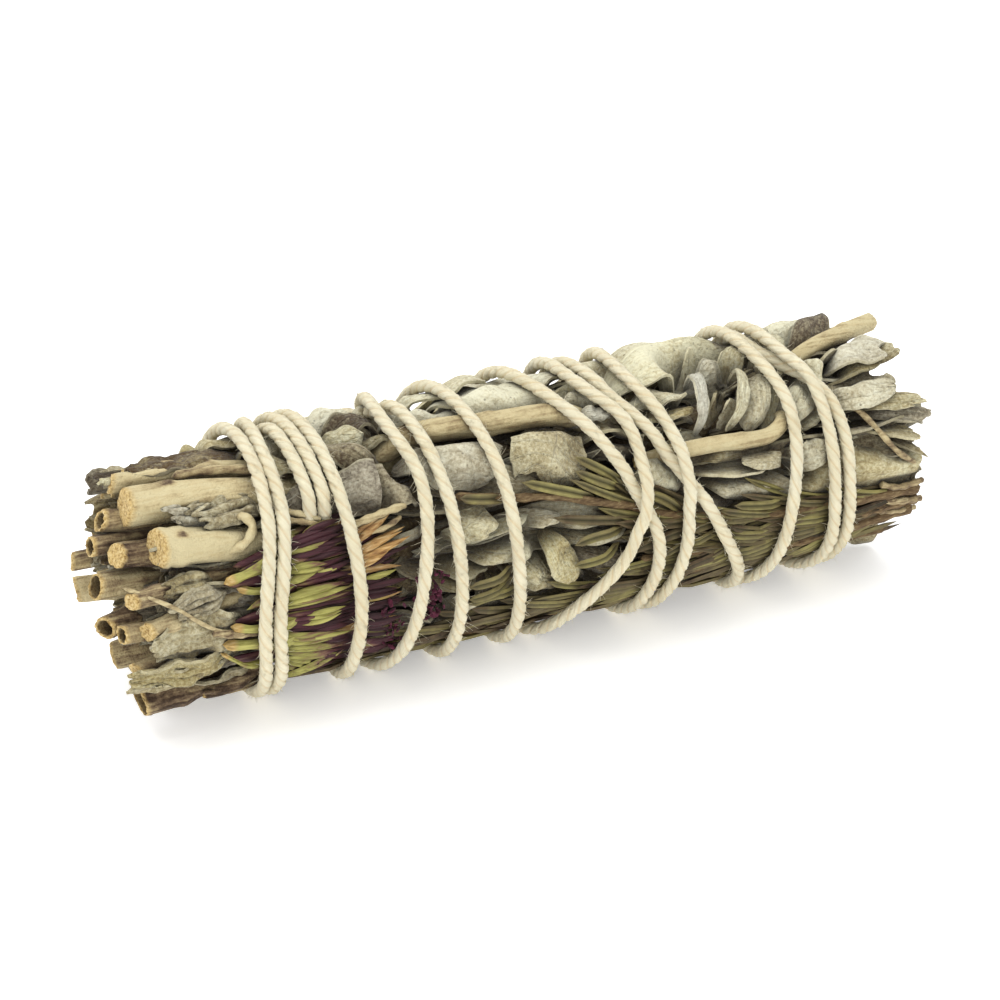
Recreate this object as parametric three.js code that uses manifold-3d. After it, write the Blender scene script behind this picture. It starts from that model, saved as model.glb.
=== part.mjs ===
// A bunch of dried sage lying on its side: leafy sage stems, rosemary sprigs and
// dried flower heads, bound by one length of cotton twine that spirals out and back.
// Millimetres, +Z up. The bunch lies along X: cut stems at -X, leaf tips at +X,
// and the side with the flower heads faces -Y.
import * as THREE from "three";
import { LoftGeometry } from "three/addons/geometries/LoftGeometry.js";
import { mergeVertices } from "three/addons/utils/BufferGeometryUtils.js";
import Module from "manifold-3d";

const wasm = await Module();
wasm.setup();

// The bunch as a whole
const HALF_LENGTH = 58;
const AXIS_HEIGHT = 17;
const MIDDLE_RADIUS = 16;
const END_TAPER = 0.9;
const WIDEST_AT = 5;
const GAP = 0.3;
const SMALLEST_FEATURE = 0.01;
const SMALLEST_OVERLAP = 0.001;

// Sage: outer sprigs side by side around inner ones, each on a woody core, with two
// columns of leaves that overlap like shingles
const OUTER_SPRIGS = 9;
const FIRST_SPRIG_ANGLE = 60;
const INNER_SPRIG_ANGLES = [75, 315, 195];
const OUTER_CORE = { inside: 5.2, outside: 9.8, half: 18.4 };
const INNER_CORE = { inside: 0.4, outside: 4.7, half: 57 };
const CORE_STATIONS = [[-46, 0.25], [-35, 1], [38, 1], [47, 0.5]];
const COLUMN_SHIFT = 10;
const COLUMN_LEAVES = 6;
const FIRST_LEAF_AT = -42;
const LEAF_SPACING = 15.5;
const LEAF_END = 57.6;
const SHORTER_ON_TOP = 5.5;
const LEAF_TILT = -6;
const LEAF_THICKNESS = 0.7;
const LEAF_TOP = -0.2;
const LEAF_ROOT = -6.8;
const LEAF_LOW = -4.4;
const LEAF_HIGH = -0.6;
const LEAF_DEEPEST = -5.6;
const LEAF_STATIONS = [0, 0.14, 0.42, 0.76, 1];
const LEAF_OUTLINE = [0, 0.5, 1, 0.75, 0];
const SHINGLE_GAP = 0.12;
const STEM_SIDES = 7;
const PITH_SHARE = 0.45;
const PITH_DEPTH = 2.5;

// Twine
const TWINE_RADIUS = 0.85;
const TWINE_HEIGHT = 1.0;
const TWINE_SIDES = 5;
const TWINE_STEP = 1;
const TWINE_SAG = 0.42;
const CROSSING_RISE = 1.9;
const CROSSING_NEAR = 0.9;
const CROSSING_FAR = 2.7;
const FRONT_ANGLE = 20;
const FRONT_HALF = 35;
const FRONT_EDGE = 20;
const SUNK_ON_FRONT = 0.5;
const SAME_STRETCH = 40;
const TUCK_DEPTH = 4.4;
const TAIL_LENGTH = 11;
const TAIL_RISE = 8;
const TAIL_HEIGHT = -0.95;

// Rosemary and flower heads lie on the sage, which is pressed in under them
const NEEDLE = { length: 12.5, width: 1.9, thickness: 0.7 };
const TWIG_SIDES = 5;
const TWIG_HEIGHT = -1.25;
const PRESSED_BY_ROSEMARY = 2.5;
const PRESSED_BY_FLOWERS = 2.1;
const PRESSED_BY_SHOWN_LEAVES = 0.9;
const PRESSED_EDGE = 3;
const BRACT = { width: 2.0, thickness: 0.8 };

const COLOURS = {
  sage: 0x9c9c80,
  twine: 0xe6dfc8,
  rosemary: 0x6c7148,
  flower: 0x6d5a5c,
};

let seed = 20417;
function random() {
  seed = (Math.imul(seed, 1664525) + 1013904223) >>> 0;
  return seed / 4294967296;
}

const mix = THREE.MathUtils.lerp;
const ease = THREE.MathUtils.smoothstep;
const radians = THREE.MathUtils.degToRad;

function bundleRadius(x) {
  return MIDDLE_RADIUS - END_TAPER * ((x - WIDEST_AT) / HALF_LENGTH) ** 2;
}

// A point by its place along the bunch, its angle around it (0 at the front, 90 on top)
// and its distance from the axis
function around(x, angle, radius) {
  const turn = radians(angle);
  return new THREE.Vector3(x, -radius * Math.cos(turn), AXIS_HEIGHT + radius * Math.sin(turn));
}

// The same by its height over the leafy surface
function over(x, angle, height) {
  return around(x, angle, bundleRadius(x) + height);
}

// Distance over the surface between two places given as [x, angle]
function surfaceDistance(a, b) {
  const across = THREE.MathUtils.euclideanModulo(a[1] - b[1] + 180, 360) - 180;
  return Math.hypot(a[0] - b[0], radians(across) * MIDDLE_RADIUS);
}

function distanceToPath(place, path) {
  let nearest = Infinity;
  for (let i = 1; i < path.length; i += 1) {
    for (let part = 0; part <= 1; part += 0.125) {
      const x = mix(path[i - 1][0], path[i][0], part);
      const angle = mix(path[i - 1][1], path[i][1], part);
      nearest = Math.min(nearest, surfaceDistance(place, [x, angle]));
    }
  }
  return nearest;
}

function solid(geometry) {
  const bare = new THREE.BufferGeometry();
  bare.setAttribute("position", geometry.attributes.position);
  bare.setIndex(geometry.index);
  const merged = mergeVertices(bare, 1e-4);
  const corners = merged.index.array;
  const kept = [];
  for (let i = 0; i < corners.length; i += 3) {
    const [a, b, c] = [corners[i], corners[i + 1], corners[i + 2]];
    if (a !== b && b !== c && c !== a) {
      kept.push(a, b, c);
    }
  }
  const mesh = new wasm.Mesh({
    numProp: 3,
    vertProperties: new Float32Array(merged.attributes.position.array),
    triVerts: new Uint32Array(kept),
  });
  return new wasm.Manifold(mesh);
}

function middleOf(section) {
  const middle = new THREE.Vector3();
  section.forEach((point) => middle.addScaledVector(point, 1 / section.length));
  return middle;
}

// Whether a skin over the sections would be inside out
function insideOut(sections) {
  const here = middleOf(sections[1]);
  const onwards = here.clone().sub(middleOf(sections[0]));
  const facing = new THREE.Vector3();
  sections[1].forEach((point, i) => {
    const following = sections[1][(i + 1) % sections[1].length];
    facing.add(point.clone().sub(here).cross(following.clone().sub(here)));
  });
  return facing.dot(onwards) < 0;
}

// A closed skin over sections with a flat face at each end
function loft(sections) {
  const ordered = insideOut(sections) ? sections.map((section) => [...section].reverse()) : sections;
  return solid(new LoftGeometry(ordered, { capStart: true, capEnd: true }));
}

// A closed skin over sections of left edge, lower middle, right edge and upper middle, drawn
// to a point at each end. Its upper and lower faces are split into triangles alike.
function bladeSkin(sections) {
  const flip = insideOut(sections);
  const index = [];
  const triangle = (a, b, c) => index.push(...(flip ? [a, c, b] : [a, b, c]));
  for (let i = 0; i + 1 < sections.length; i += 1) {
    for (let j = 0; j < 4; j += 1) {
      const here = 4 * i + j;
      const beside = 4 * i + ((j + 1) % 4);
      const [ahead, aheadBeside] = [here + 4, beside + 4];
      if (j < 2) {
        triangle(here, beside, aheadBeside);
        triangle(here, aheadBeside, ahead);
      } else {
        triangle(here, beside, ahead);
        triangle(beside, aheadBeside, ahead);
      }
    }
  }
  const geometry = new THREE.BufferGeometry().setFromPoints(sections.flat());
  geometry.setIndex(index);
  return solid(geometry);
}

// A round rod along points, its radius given by the share of the way
function rod(points, radiusAt, sides) {
  const sections = [];
  let side = null;
  points.forEach((point, i) => {
    const before = points[Math.max(i - 1, 0)];
    const after = points[Math.min(i + 1, points.length - 1)];
    const along = after.clone().sub(before).normalize();
    if (side === null) {
      side = Math.abs(along.z) < 0.9 ? new THREE.Vector3(0, 0, 1) : new THREE.Vector3(0, 1, 0);
    }
    side = side.clone().addScaledVector(along, -side.dot(along)).normalize();
    const across = along.clone().cross(side);
    const radius = radiusAt(i / (points.length - 1));
    const section = [];
    for (let k = 0; k < sides; k += 1) {
      const turn = (2 * Math.PI * k) / sides;
      section.push(point.clone()
        .addScaledVector(side, radius * Math.cos(turn))
        .addScaledVector(across, radius * Math.sin(turn)));
    }
    sections.push(section);
  });
  return loft(sections);
}

function smoothPath(points, steps) {
  return new THREE.CatmullRomCurve3(points, false, "centripetal").getPoints(steps);
}

// A thin blade over the surface, lens-shaped in section. Its middle line leaves [x, angle]
// at a heading (0 towards +X, 90 up and over) and bends evenly by turn on the way.
function blade(shape, stations, outline, heightAt, grow) {
  const sections = stations.map((share, i) => {
    const bend = radians(shape.turn) * share;
    const chord = Math.abs(bend) < 1e-6 ? share : (2 * share * Math.sin(bend / 2)) / bend;
    const start = radians(shape.heading);
    const reach = shape.length * chord;
    const along = reach * Math.cos(start + bend / 2);
    const across = reach * Math.sin(start + bend / 2);
    const tip = outline[i] === 0;
    const half = (shape.width / 2) * outline[i];
    const thick = tip ? 0 : (shape.thickness / 2) * Math.sqrt(outline[i]) + grow;
    const place = (sideways) => {
      const x = shape.x + along - sideways * Math.sin(start + bend);
      const arc = across + sideways * Math.cos(start + bend);
      return [x, shape.angle + THREE.MathUtils.radToDeg(arc / MIDDLE_RADIUS)];
    };
    const point = (edge, lift) => {
      const height = heightAt(share, tip ? 0 : edge, ...place(half * edge));
      return over(...place((half + (tip ? 0 : grow)) * edge), height + lift);
    };
    return [point(-1, 0), point(0, -thick), point(1, 0), point(0, thick)];
  });
  return bladeSkin(sections);
}

// Where things lie over the sage: a path of [x, angle] places, the half width
// that they cover and how deep they press
const ROSEMARY = [
  {
    path: [[-13, 41], [-1, 27], [6, 17.5], [19, -1], [34, -7], [55, -12]],
    tip: "first", twig: 1.0, reach: 3.6, spread: [15, 6], pairs: 10,
  },
  {
    path: [[-10, -37], [8, -35], [25, -34], [42, -32], [56, -27]],
    tip: "first", twig: 0.9, reach: 2.8, spread: [10, 7], pairs: 6,
  },
  {
    path: [[-46, -62], [-25, -66], [-5, -64], [15, -62], [36, -58], [54, -52]],
    tip: "last", twig: 0.9, reach: 3.2, spread: [10, 12], pairs: 8,
  },
  {
    path: [[12, -15], [25, -20], [40, -21], [57, -19]],
    tip: "first", twig: 0.9, reach: 2.6, spread: [7, 6], pairs: 5,
  },
];

const FLOWERS = [
  { path: [[-43.5, 19], [-35, 20], [-22, 20]], width: 4.6 },
  { path: [[-42, 27], [-36, 29], [-26, 33]], width: 3.4 },
  { path: [[-43.5, -3], [-34, -1], [-20, 1]], width: 5.0 },
  { path: [[-44, -15], [-34, -17], [-20.5, -16]], width: 4.4 },
  { path: [[-43.5, -27], [-34, -34], [-21, -40]], width: 4.8 },
];

function pressed(x, angle) {
  let depth = 0;
  for (const sprig of ROSEMARY) {
    const away = distanceToPath([x, angle], sprig.path);
    const share = 1 - ease(away, sprig.reach, sprig.reach + PRESSED_EDGE);
    depth = Math.max(depth, PRESSED_BY_ROSEMARY * share);
  }
  for (const flower of FLOWERS) {
    const away = distanceToPath([x, angle], flower.path);
    const reach = flower.width / 2 + 0.8;
    depth = Math.max(depth, PRESSED_BY_FLOWERS * (1 - ease(away, reach, reach + PRESSED_EDGE)));
  }
  return depth;
}

// Twine: each pass over the front, by its x at the angles of PASS_ANGLES
const PASS_ANGLES = [90, 45, 0, -45];
const PASSES_OUT = [
  [-31.6, -31.4, -31.2, -31.2],
  [-29.7, -29.5, -29.3, -29.3],
  [-27.8, -27.6, -27.3, -27.3],
  [-15.6, -14.4, -14.0, -13.6],
  [-8.2, -6.8, -6.2, -5.0],
  [2.4, 8.0, 13.4, 13.4],
  [10.5, 15.0, 22.2, 28.2],
  [36.4, 41.4, 42.2, 43.4],
];
const PASSES_BACK = [
  [37.5, 39.5, 39.8, 41.1],
  [33.6, 35.0, 33.3, 32.2],
  [15.0, 17.4, 17.8, 16.6],
  [8.0, 12.2, 9.9, 1.6],
  [-18.1, -17.1, -19.2, -21.2],
  [-34.2, -35.2, -37.7, -36.8],
  [-36.1, -37.1, -39.6, -38.7],
];
const TUCKED_PASSES = 2;

// The route as [x, angle] places; the angle falls by a full turn on every pass. Both
// ends lie along the bunch on the hidden side, tucked under the turns.
function twineRoute() {
  const passes = [...PASSES_OUT, ...PASSES_BACK];
  const knots = [[-21, 160], [-28, 159], [-32, 148], [-32.3, 125]];
  passes.forEach((pass, turn) => {
    pass.forEach((x, i) => knots.push([x, PASS_ANGLES[i] - 360 * turn]));
    const next = passes[turn + 1];
    if (next) {
      const leave = pass[pass.length - 1];
      knots.push([mix(leave, next[0], 0.2), -110 - 360 * turn]);
      knots.push([mix(leave, next[0], 0.75), -200 - 360 * turn]);
    }
  });
  const end = -360 * (passes.length - 1);
  knots.push([-38.0, -90 + end]);
  knots.push([-37.4, -135 + end]);
  knots.push([-34.5, -164 + end]);
  knots.push([-28, -170 + end]);
  knots.push([-21, -171 + end]);
  const curve = new THREE.SplineCurve(
    knots.map(([x, angle]) => new THREE.Vector2(x, radians(angle) * MIDDLE_RADIUS)),
  );
  curve.arcLengthDivisions = knots.length * 24;
  const steps = Math.round(curve.getLength() / TWINE_STEP);
  return curve.getSpacedPoints(steps).map(
    (place) => [place.x, THREE.MathUtils.radToDeg(place.y / MIDDLE_RADIUS)],
  );
}

// Height of each place. Where the way back crosses the way out on the front, one rises and
// the other sinks, and elsewhere only the way out sinks into the leaves. The first turns are
// tucked under the flower heads.
function twineHeights(route) {
  const turnBack = PASS_ANGLES[3] - 360 * (PASSES_OUT.length - 1) - 100;
  const isOut = route.map((place) => place[1] > turnBack);
  return route.map((place, i) => {
    const angle = place[1];
    const outwards = isOut[i];
    const fromEnd = Math.min(i, route.length - 1 - i) * TWINE_STEP;
    if (fromEnd < TAIL_LENGTH + TAIL_RISE) {
      return mix(TAIL_HEIGHT, TWINE_HEIGHT, ease(fromEnd, TAIL_LENGTH, TAIL_LENGTH + TAIL_RISE));
    }
    let near = Infinity;
    route.forEach((other, j) => {
      if (isOut[j] !== outwards && Math.abs(i - j) * TWINE_STEP > SAME_STRETCH) {
        near = Math.min(near, surfaceDistance(place, other));
      }
    });
    const crossing = CROSSING_RISE * (1 - ease(near, CROSSING_NEAR, CROSSING_FAR));
    const aside = Math.abs(THREE.MathUtils.euclideanModulo(angle - FRONT_ANGLE + 180, 360) - 180);
    const sunk = mix(SUNK_ON_FRONT, 1, ease(aside, FRONT_HALF, FRONT_HALF + FRONT_EDGE));
    if (!outwards) {
      return TWINE_HEIGHT + crossing * (1 - sunk);
    }
    const turn = Math.floor((270 - angle) / 360);
    const front = angle + 360 * turn;
    const under = turn < TUCKED_PASSES ? ease(front, -102, -82) * (1 - ease(front, 31, 53)) : 0;
    return TWINE_HEIGHT - Math.max(TUCK_DEPTH * under, crossing * sunk);
  });
}

// Leaves out the points that the line doesn't need: each stretch runs on for as long as
// the points that it skips stay close to it
function thinned(points, sag) {
  const kept = [points[0]];
  const nearest = new THREE.Vector3();
  let from = 0;
  while (from < points.length - 1) {
    let to = from + 1;
    let close = true;
    while (close && to + 1 < points.length) {
      const line = new THREE.Line3(points[from], points[to + 1]);
      for (let i = from + 1; i <= to && close; i += 1) {
        close = line.closestPointToPoint(points[i], true, nearest).distanceTo(points[i]) < sag;
      }
      to += close ? 1 : 0;
    }
    kept.push(points[to]);
    from = to;
  }
  return kept;
}

function makeTwine(grow) {
  const route = twineRoute();
  const heights = twineHeights(route);
  const points = route.map(([x, angle], i) => over(x, angle, heights[i]));
  const line = thinned(points, TWINE_SAG);
  const wound = rod(line, () => TWINE_RADIUS + grow, TWINE_SIDES);
  const floor = solid(new THREE.BoxGeometry(4 * HALF_LENGTH, 4 * HALF_LENGTH, 10)
    .translate(0, 0, -5));
  return wound.subtract(floor);
}

function makeStem(stem, grow) {
  const points = smoothPath(stem.path.map(([x, angle, radius]) => around(x, angle, radius)), 4);
  const radius = stem.diameter / 2;
  const rodShape = rod(points, () => radius + grow, STEM_SIDES);
  if (grow > 0 || !stem.hollow) {
    return rodShape;
  }
  const inwards = points[1].clone().sub(points[0]).normalize();
  const mouth = points[0].clone().addScaledVector(inwards, -1);
  const bottom = points[0].clone().addScaledVector(inwards, PITH_DEPTH);
  return rodShape.subtract(rod([mouth, bottom], () => radius * PITH_SHARE, STEM_SIDES));
}

function makeCore(middle, core, grow) {
  const sections = CORE_STATIONS.map(([x, size]) => {
    const half = core.half * size;
    const centre = (core.inside + core.outside) / 2;
    const inside = mix(centre, core.inside, size) - grow;
    const outside = mix(centre, core.outside, size) + grow;
    const widen = (radius) => THREE.MathUtils.radToDeg(grow / Math.max(radius, 1));
    return [
      around(x, middle - half - widen(inside), inside),
      around(x, middle - half - widen(outside), outside),
      around(x, middle, outside),
      around(x, middle + half + widen(outside), outside),
      around(x, middle + half + widen(inside), inside),
    ];
  });
  return loft(sections);
}

function makeLeaf(leaf, grow) {
  const heightAt = (share, sideways, x, angle) => {
    const curl = leaf.cup * sideways * sideways;
    const wave = leaf.wave * sideways * Math.sin(8 * share + leaf.phase);
    const level = mix(leaf.low, leaf.high, share) - leaf.under(angle);
    const free = THREE.MathUtils.clamp((level - leaf.deepest) / (LEAF_HIGH - leaf.deepest), 0, 1);
    const flat = level - pressed(x, angle) * free;
    const height = THREE.MathUtils.clamp(flat + curl + wave, leaf.deepest, LEAF_TOP - LEAF_THICKNESS / 2);
    return mix(leaf.root, height, ease(share, 0, leaf.rise));
  };
  const shape = { ...leaf, thickness: LEAF_THICKNESS };
  return blade(shape, LEAF_STATIONS, LEAF_OUTLINE, heightAt, grow);
}

// Sage stems, from the cut end into the core, as [x, angle, distance from the axis]
const STEMS = [
  {
    sprig: 1, diameter: 4.4, hollow: true,
    path: [[-51.5, 73, 12.8], [-44, 69, 12.8], [-36, 66, 12], [-24, 62, 9]],
  },
  { sprig: 1, diameter: 3.4, hollow: true, path: [[-54, 56, 9], [-46, 57, 8.8], [-36, 58, 8.4]] },
  {
    sprig: 2, diameter: 3.0, hollow: false,
    path: [[-52.5, 89, 13.6], [-44, 87, 13.4], [-36, 88, 12], [-26, 92, 9]],
  },
  {
    sprig: 2, diameter: 2.8, hollow: true,
    path: [[-55.2, 89, 10.2], [-47, 92, 9.6], [-37, 96, 8.4]],
  },
  {
    sprig: 3, diameter: 3.6, hollow: true,
    path: [[-54, 124, 12.4], [-45, 128, 11.8], [-35, 136, 8.6]],
  },
  {
    sprig: 4, diameter: 3.8, hollow: true,
    path: [[-52, 166, 12.6], [-44, 170, 12], [-35, 178, 8.6]],
  },
  {
    sprig: 5, diameter: 3.4, hollow: true,
    path: [[-55.5, 207, 12], [-46, 211, 11], [-36, 217, 8.4]],
  },
  {
    sprig: 6, diameter: 3.6, hollow: false,
    path: [[-53, 248, 12.6], [-45, 252, 11.8], [-35, 258, 8.6]],
  },
  {
    sprig: 7, diameter: 3.6, hollow: true,
    path: [[-53.5, 302, 13.6], [-46, 302, 12.6], [-35, 301, 8.6]],
  },
  {
    sprig: 8, diameter: 2.8, hollow: false,
    path: [[-55, 327, 13], [-46, 331, 12], [-36, 337, 8.6]],
  },
  {
    sprig: 8, diameter: 2.6, hollow: true,
    path: [[-56, 350, 11.4], [-47, 348, 10.6], [-36, 345, 8.4]],
  },
  {
    sprig: 9, diameter: 4.4, hollow: true,
    path: [[-50.5, 45, 13], [-44, 42, 12.4], [-38, 38, 10.8], [-28, 30, 8.4]],
  },
  {
    sprig: 9, diameter: 2.6, hollow: true,
    path: [[-57.4, 8, 10.2], [-48, 10, 9.6], [-37, 14, 8.4]],
  },
  {
    sprig: 9, diameter: 2.4, hollow: false,
    path: [[-52.5, 5, 13.4], [-46, 7, 12.4], [-36, 12, 9]],
  },
  { sprig: 10, diameter: 3.2, hollow: true, path: [[-57, 78, 6.6], [-47, 78, 5], [-36, 78, 3]] },
  { sprig: 11, diameter: 3.2, hollow: true, path: [[-57.3, 26, 8], [-48, 0, 5], [-36, -40, 3]] },
  {
    sprig: 12, diameter: 3.2, hollow: false,
    path: [[-56.5, 202, 6], [-47, 200, 4.5], [-36, 198, 3]],
  },
];

// Leaf stalks and twigs that show on the surface, both ends sunk into the bunch
const SHOWN_STALKS = [
  {
    sprig: 1, diameter: 2.8,
    path: [[-20, 79, 10], [-15, 77, 13.6], [-2, 73, 14.2], [10, 68, 13.8], [16, 66, 10]],
  },
  {
    sprig: 9, diameter: 2.2,
    path: [[15, 34, 10], [20, 33.5, 14], [31, 32.5, 14.4], [36, 37, 14.2], [36, 38, 10]],
  },
  {
    sprig: 2, diameter: 2.4,
    path: [[38, 90, 9.5], [45, 84, 13.5], [51, 88, 14.3], [57.6, 97, 14.6]],
  },
];

// Leaves placed by eye on the sides that show
const SHOWN_LEAVES = [
  { sprig: 1, x: -37, angle: 62, heading: -10, turn: 0, length: 24, width: 11 },
  { sprig: 1, x: -28, angle: 88, heading: -46, turn: 12, length: 22, width: 8, root: -3 },
  { sprig: 2, x: -14, angle: 119, heading: -32, turn: 6, length: 26, width: 9 },
  { sprig: 1, x: -17, angle: 61, heading: -18, turn: 0, length: 17, width: 10 },
  { sprig: 1, x: 3.6, angle: 67, heading: -104, turn: 0, length: 12.5, width: 11 },
  { sprig: 9, x: -14, angle: 9, heading: -12, turn: 0, length: 28, width: 9 },
  { sprig: 9, x: 33, angle: 13, heading: -4, turn: 0, length: 18, width: 9 },
  { sprig: 9, x: -36, angle: 4, heading: 184, turn: 0, length: 12.5, width: 8 },
  { sprig: 2, x: -36, angle: 108, heading: 182, turn: 0, length: 13, width: 9 },
  { sprig: 2, x: 35, angle: 112, heading: 3, turn: 0, length: 16, width: 8 },
  { sprig: 1, x: 15.5, angle: 49, heading: 34, turn: -64, length: 22, width: 9 },
  { sprig: 1, x: 40, angle: 62, heading: -6, turn: 0, length: 12.5, width: 9 },
  { sprig: 8, x: -36, angle: -46, heading: -6, turn: 0, length: 22, width: 9 },
  { sprig: 8, x: -37, angle: -36, heading: 186, turn: 0, length: 12, width: 7 },
  { sprig: 4, x: -36, angle: 178, heading: 178, turn: 0, length: 12, width: 8 },
  { sprig: 5, x: -37, angle: 226, heading: 184, turn: 0, length: 11, width: 8 },
  { sprig: 7, x: -37, angle: 286, heading: 176, turn: 0, length: 11, width: 8 },
];

function sprigAngle(number) {
  return FIRST_SPRIG_ANGLE + ((number - 1) * 360) / OUTER_SPRIGS;
}

// Shingled leaves lie a little deeper on the front, under the leaves placed there by eye
function columnLeaves(number) {
  const leaves = [];
  const under = (angle) => PRESSED_BY_SHOWN_LEAVES * ease(Math.cos(radians(angle - 50)), -0.2, 0.3);
  [-1, 1].forEach((side, column) => {
    for (let i = 0; i < COLUMN_LEAVES; i += 1) {
      const x = FIRST_LEAF_AT + LEAF_SPACING * (i + column * 0.5) + 1.5 * random();
      const angle = sprigAngle(number) + side * COLUMN_SHIFT;
      const end = LEAF_END - SHORTER_ON_TOP * ease(Math.sin(radians(angle)), 0.4, 1);
      const length = Math.min(30 + 3 * random(), end - x);
      leaves.push({
        x,
        angle,
        heading: LEAF_TILT + 5 * random() - 2.5,
        turn: 8 * random() - 4,
        length,
        width: 9.2 + 1.2 * random(),
        root: LEAF_ROOT,
        deepest: LEAF_DEEPEST,
        low: LEAF_LOW,
        high: LEAF_HIGH,
        under,
        rise: 0.12,
        cup: 0.5 * random() - 0.15,
        wave: 0.25 * random(),
        phase: 6.3 * random(),
      });
    }
  });
  const thinOut = (leaf) => pressed(leaf.x + leaf.length / 2, leaf.angle) > 1.2;
  return leaves.filter((leaf, i) => leaf.length > 12 && (i % 2 === 0 || !thinOut(leaf)));
}

function shownLeaves(number) {
  return SHOWN_LEAVES.filter((leaf) => leaf.sprig === number).map((leaf) => ({
    root: LEAF_ROOT,
    deepest: LEAF_DEEPEST,
    low: -0.8,
    high: -0.7,
    under: () => 0,
    rise: 0.16,
    cup: 0.2,
    wave: 0.2,
    phase: leaf.x,
    ...leaf,
  }));
}

// Leaves of an inner sprig, which fill the leafy end of the bunch
function innerLeaves(number) {
  const middle = INNER_SPRIG_ANGLES[number - OUTER_SPRIGS - 1];
  return [-38, 0, 38].map((shift) => ({
    x: 30 + 3 * random(),
    angle: middle + shift,
    heading: 0,
    turn: 0,
    length: 22 + 4 * random(),
    width: 7,
    root: -13,
    deepest: -14,
    low: -12.6,
    high: -9,
    under: () => 0,
    rise: 0.12,
    cup: 0.5,
    wave: 0.3,
    phase: shift,
  }));
}

function makeSage(number, leaves, grow) {
  const outer = number <= OUTER_SPRIGS;
  const middle = outer ? sprigAngle(number) : INNER_SPRIG_ANGLES[number - OUTER_SPRIGS - 1];
  const pieces = [makeCore(middle, outer ? OUTER_CORE : INNER_CORE, grow)];
  for (const stem of STEMS.filter((one) => one.sprig === number)) {
    pieces.push(makeStem(stem, grow));
  }
  for (const stalk of SHOWN_STALKS.filter((one) => one.sprig === number)) {
    const points = smoothPath(stalk.path.map(([x, angle, radius]) => around(x, angle, radius)), 7);
    pieces.push(rod(points, () => stalk.diameter / 2 + grow, TWIG_SIDES));
  }
  for (const leaf of leaves) {
    pieces.push(makeLeaf(leaf, grow));
  }
  return wasm.Manifold.union(pieces);
}

// Places along a path of [x, angle], evenly spaced, with the heading there
function walk(path, share) {
  const curve = new THREE.SplineCurve(
    path.map(([x, angle]) => new THREE.Vector2(x, radians(angle) * MIDDLE_RADIUS)),
  );
  const place = curve.getPointAt(share);
  const tangent = curve.getTangentAt(share);
  return {
    x: place.x,
    angle: THREE.MathUtils.radToDeg(place.y / MIDDLE_RADIUS),
    heading: THREE.MathUtils.radToDeg(Math.atan2(tangent.y, tangent.x)),
  };
}

function makeRosemary(sprig, needles, grow) {
  const twigHeight = TWIG_HEIGHT;
  const line = [];
  const steps = 8;
  for (let i = 0; i <= steps; i += 1) {
    const place = walk(sprig.path, i / steps);
    line.push(over(place.x, place.angle, twigHeight));
  }
  const thinEnd = (share) => (sprig.tip === "first" ? share : 1 - share);
  const pieces = [rod(line, (share) => sprig.twig * (0.6 + 0.4 * thinEnd(share)) + grow, TWIG_SIDES)];
  for (const needle of needles) {
    const heightAt = (share) => mix(twigHeight, needle.height, share);
    const shape = { ...needle, turn: 0, width: NEEDLE.width, thickness: NEEDLE.thickness };
    pieces.push(blade(shape, [0, 0.3, 0.75, 1], [0, 0.85, 0.9, 0], heightAt, grow));
  }
  return wasm.Manifold.union(pieces);
}

function rosemaryNeedles(sprig) {
  const needles = [];
  for (let pair = 0; pair < sprig.pairs; pair += 1) {
    const share = (pair + 0.5) / sprig.pairs;
    const place = walk(sprig.path, sprig.tip === "first" ? share : share * 0.86);
    const forward = sprig.tip === "first" ? place.heading + 180 : place.heading;
    const spread = mix(sprig.spread[0], sprig.spread[1], share);
    for (const side of [-1, 1]) {
      needles.push({
        x: place.x,
        angle: place.angle,
        heading: forward + side * spread * (0.7 + 0.6 * random()),
        length: NEEDLE.length * (0.8 + 0.35 * random()),
        height: -0.6 - 0.1 * random(),
      });
    }
  }
  return needles;
}

function makeFlower(flower, bracts, grow) {
  const height = -PRESSED_BY_FLOWERS / 2 - 0.1;
  const stations = [0, 0.12, 0.4, 0.7, 1];
  const outline = [0.35, 0.6, 1, 0.75, 0.2];
  const half = flower.width / 2;
  const sections = stations.map((share, i) => {
    const place = walk(flower.path, share * 0.8);
    const turn = radians(place.heading);
    const section = [];
    for (let k = 0; k < 6; k += 1) {
      const at = (Math.PI * k) / 3;
      const sideways = (half * 0.8 * outline[i] + grow) * Math.cos(at);
      const lift = (0.8 * Math.sqrt(outline[i]) + grow) * Math.sin(at);
      const x = place.x - sideways * Math.sin(turn);
      const arc = sideways * Math.cos(turn);
      const angle = place.angle + THREE.MathUtils.radToDeg(arc / MIDDLE_RADIUS);
      section.push(over(x, angle, height + lift));
    }
    return section;
  });
  const pieces = [loft(sections)];
  for (const bract of bracts) {
    const shape = { ...bract, turn: 0, width: BRACT.width, thickness: BRACT.thickness };
    pieces.push(blade(shape, [0, 0.3, 0.75, 1], [0, 0.8, 1, 0], () => bract.height, grow));
  }
  return wasm.Manifold.union(pieces);
}

function flowerBracts(flower) {
  const bracts = [];
  const count = 4;
  for (let i = 0; i < count; i += 1) {
    const place = walk(flower.path, 0.3 + 0.3 * (i / count));
    const side = (i % 3) - 1;
    bracts.push({
      x: place.x,
      angle: place.angle + side * 2,
      heading: place.heading + side * (7 + 5 * random()),
      length: 9 + 5 * random(),
      height: -0.75 - 0.9 * (i % 2),
    });
  }
  return bracts;
}

function largestBody(shape) {
  const bodies = shape.decompose();
  bodies.sort((a, b) => b.volume() - a.volume());
  return bodies[0];
}

const bunch = new THREE.Group();
bunch.name = "sage_bunch";
let covered = null;
const bodies = [];

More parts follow.
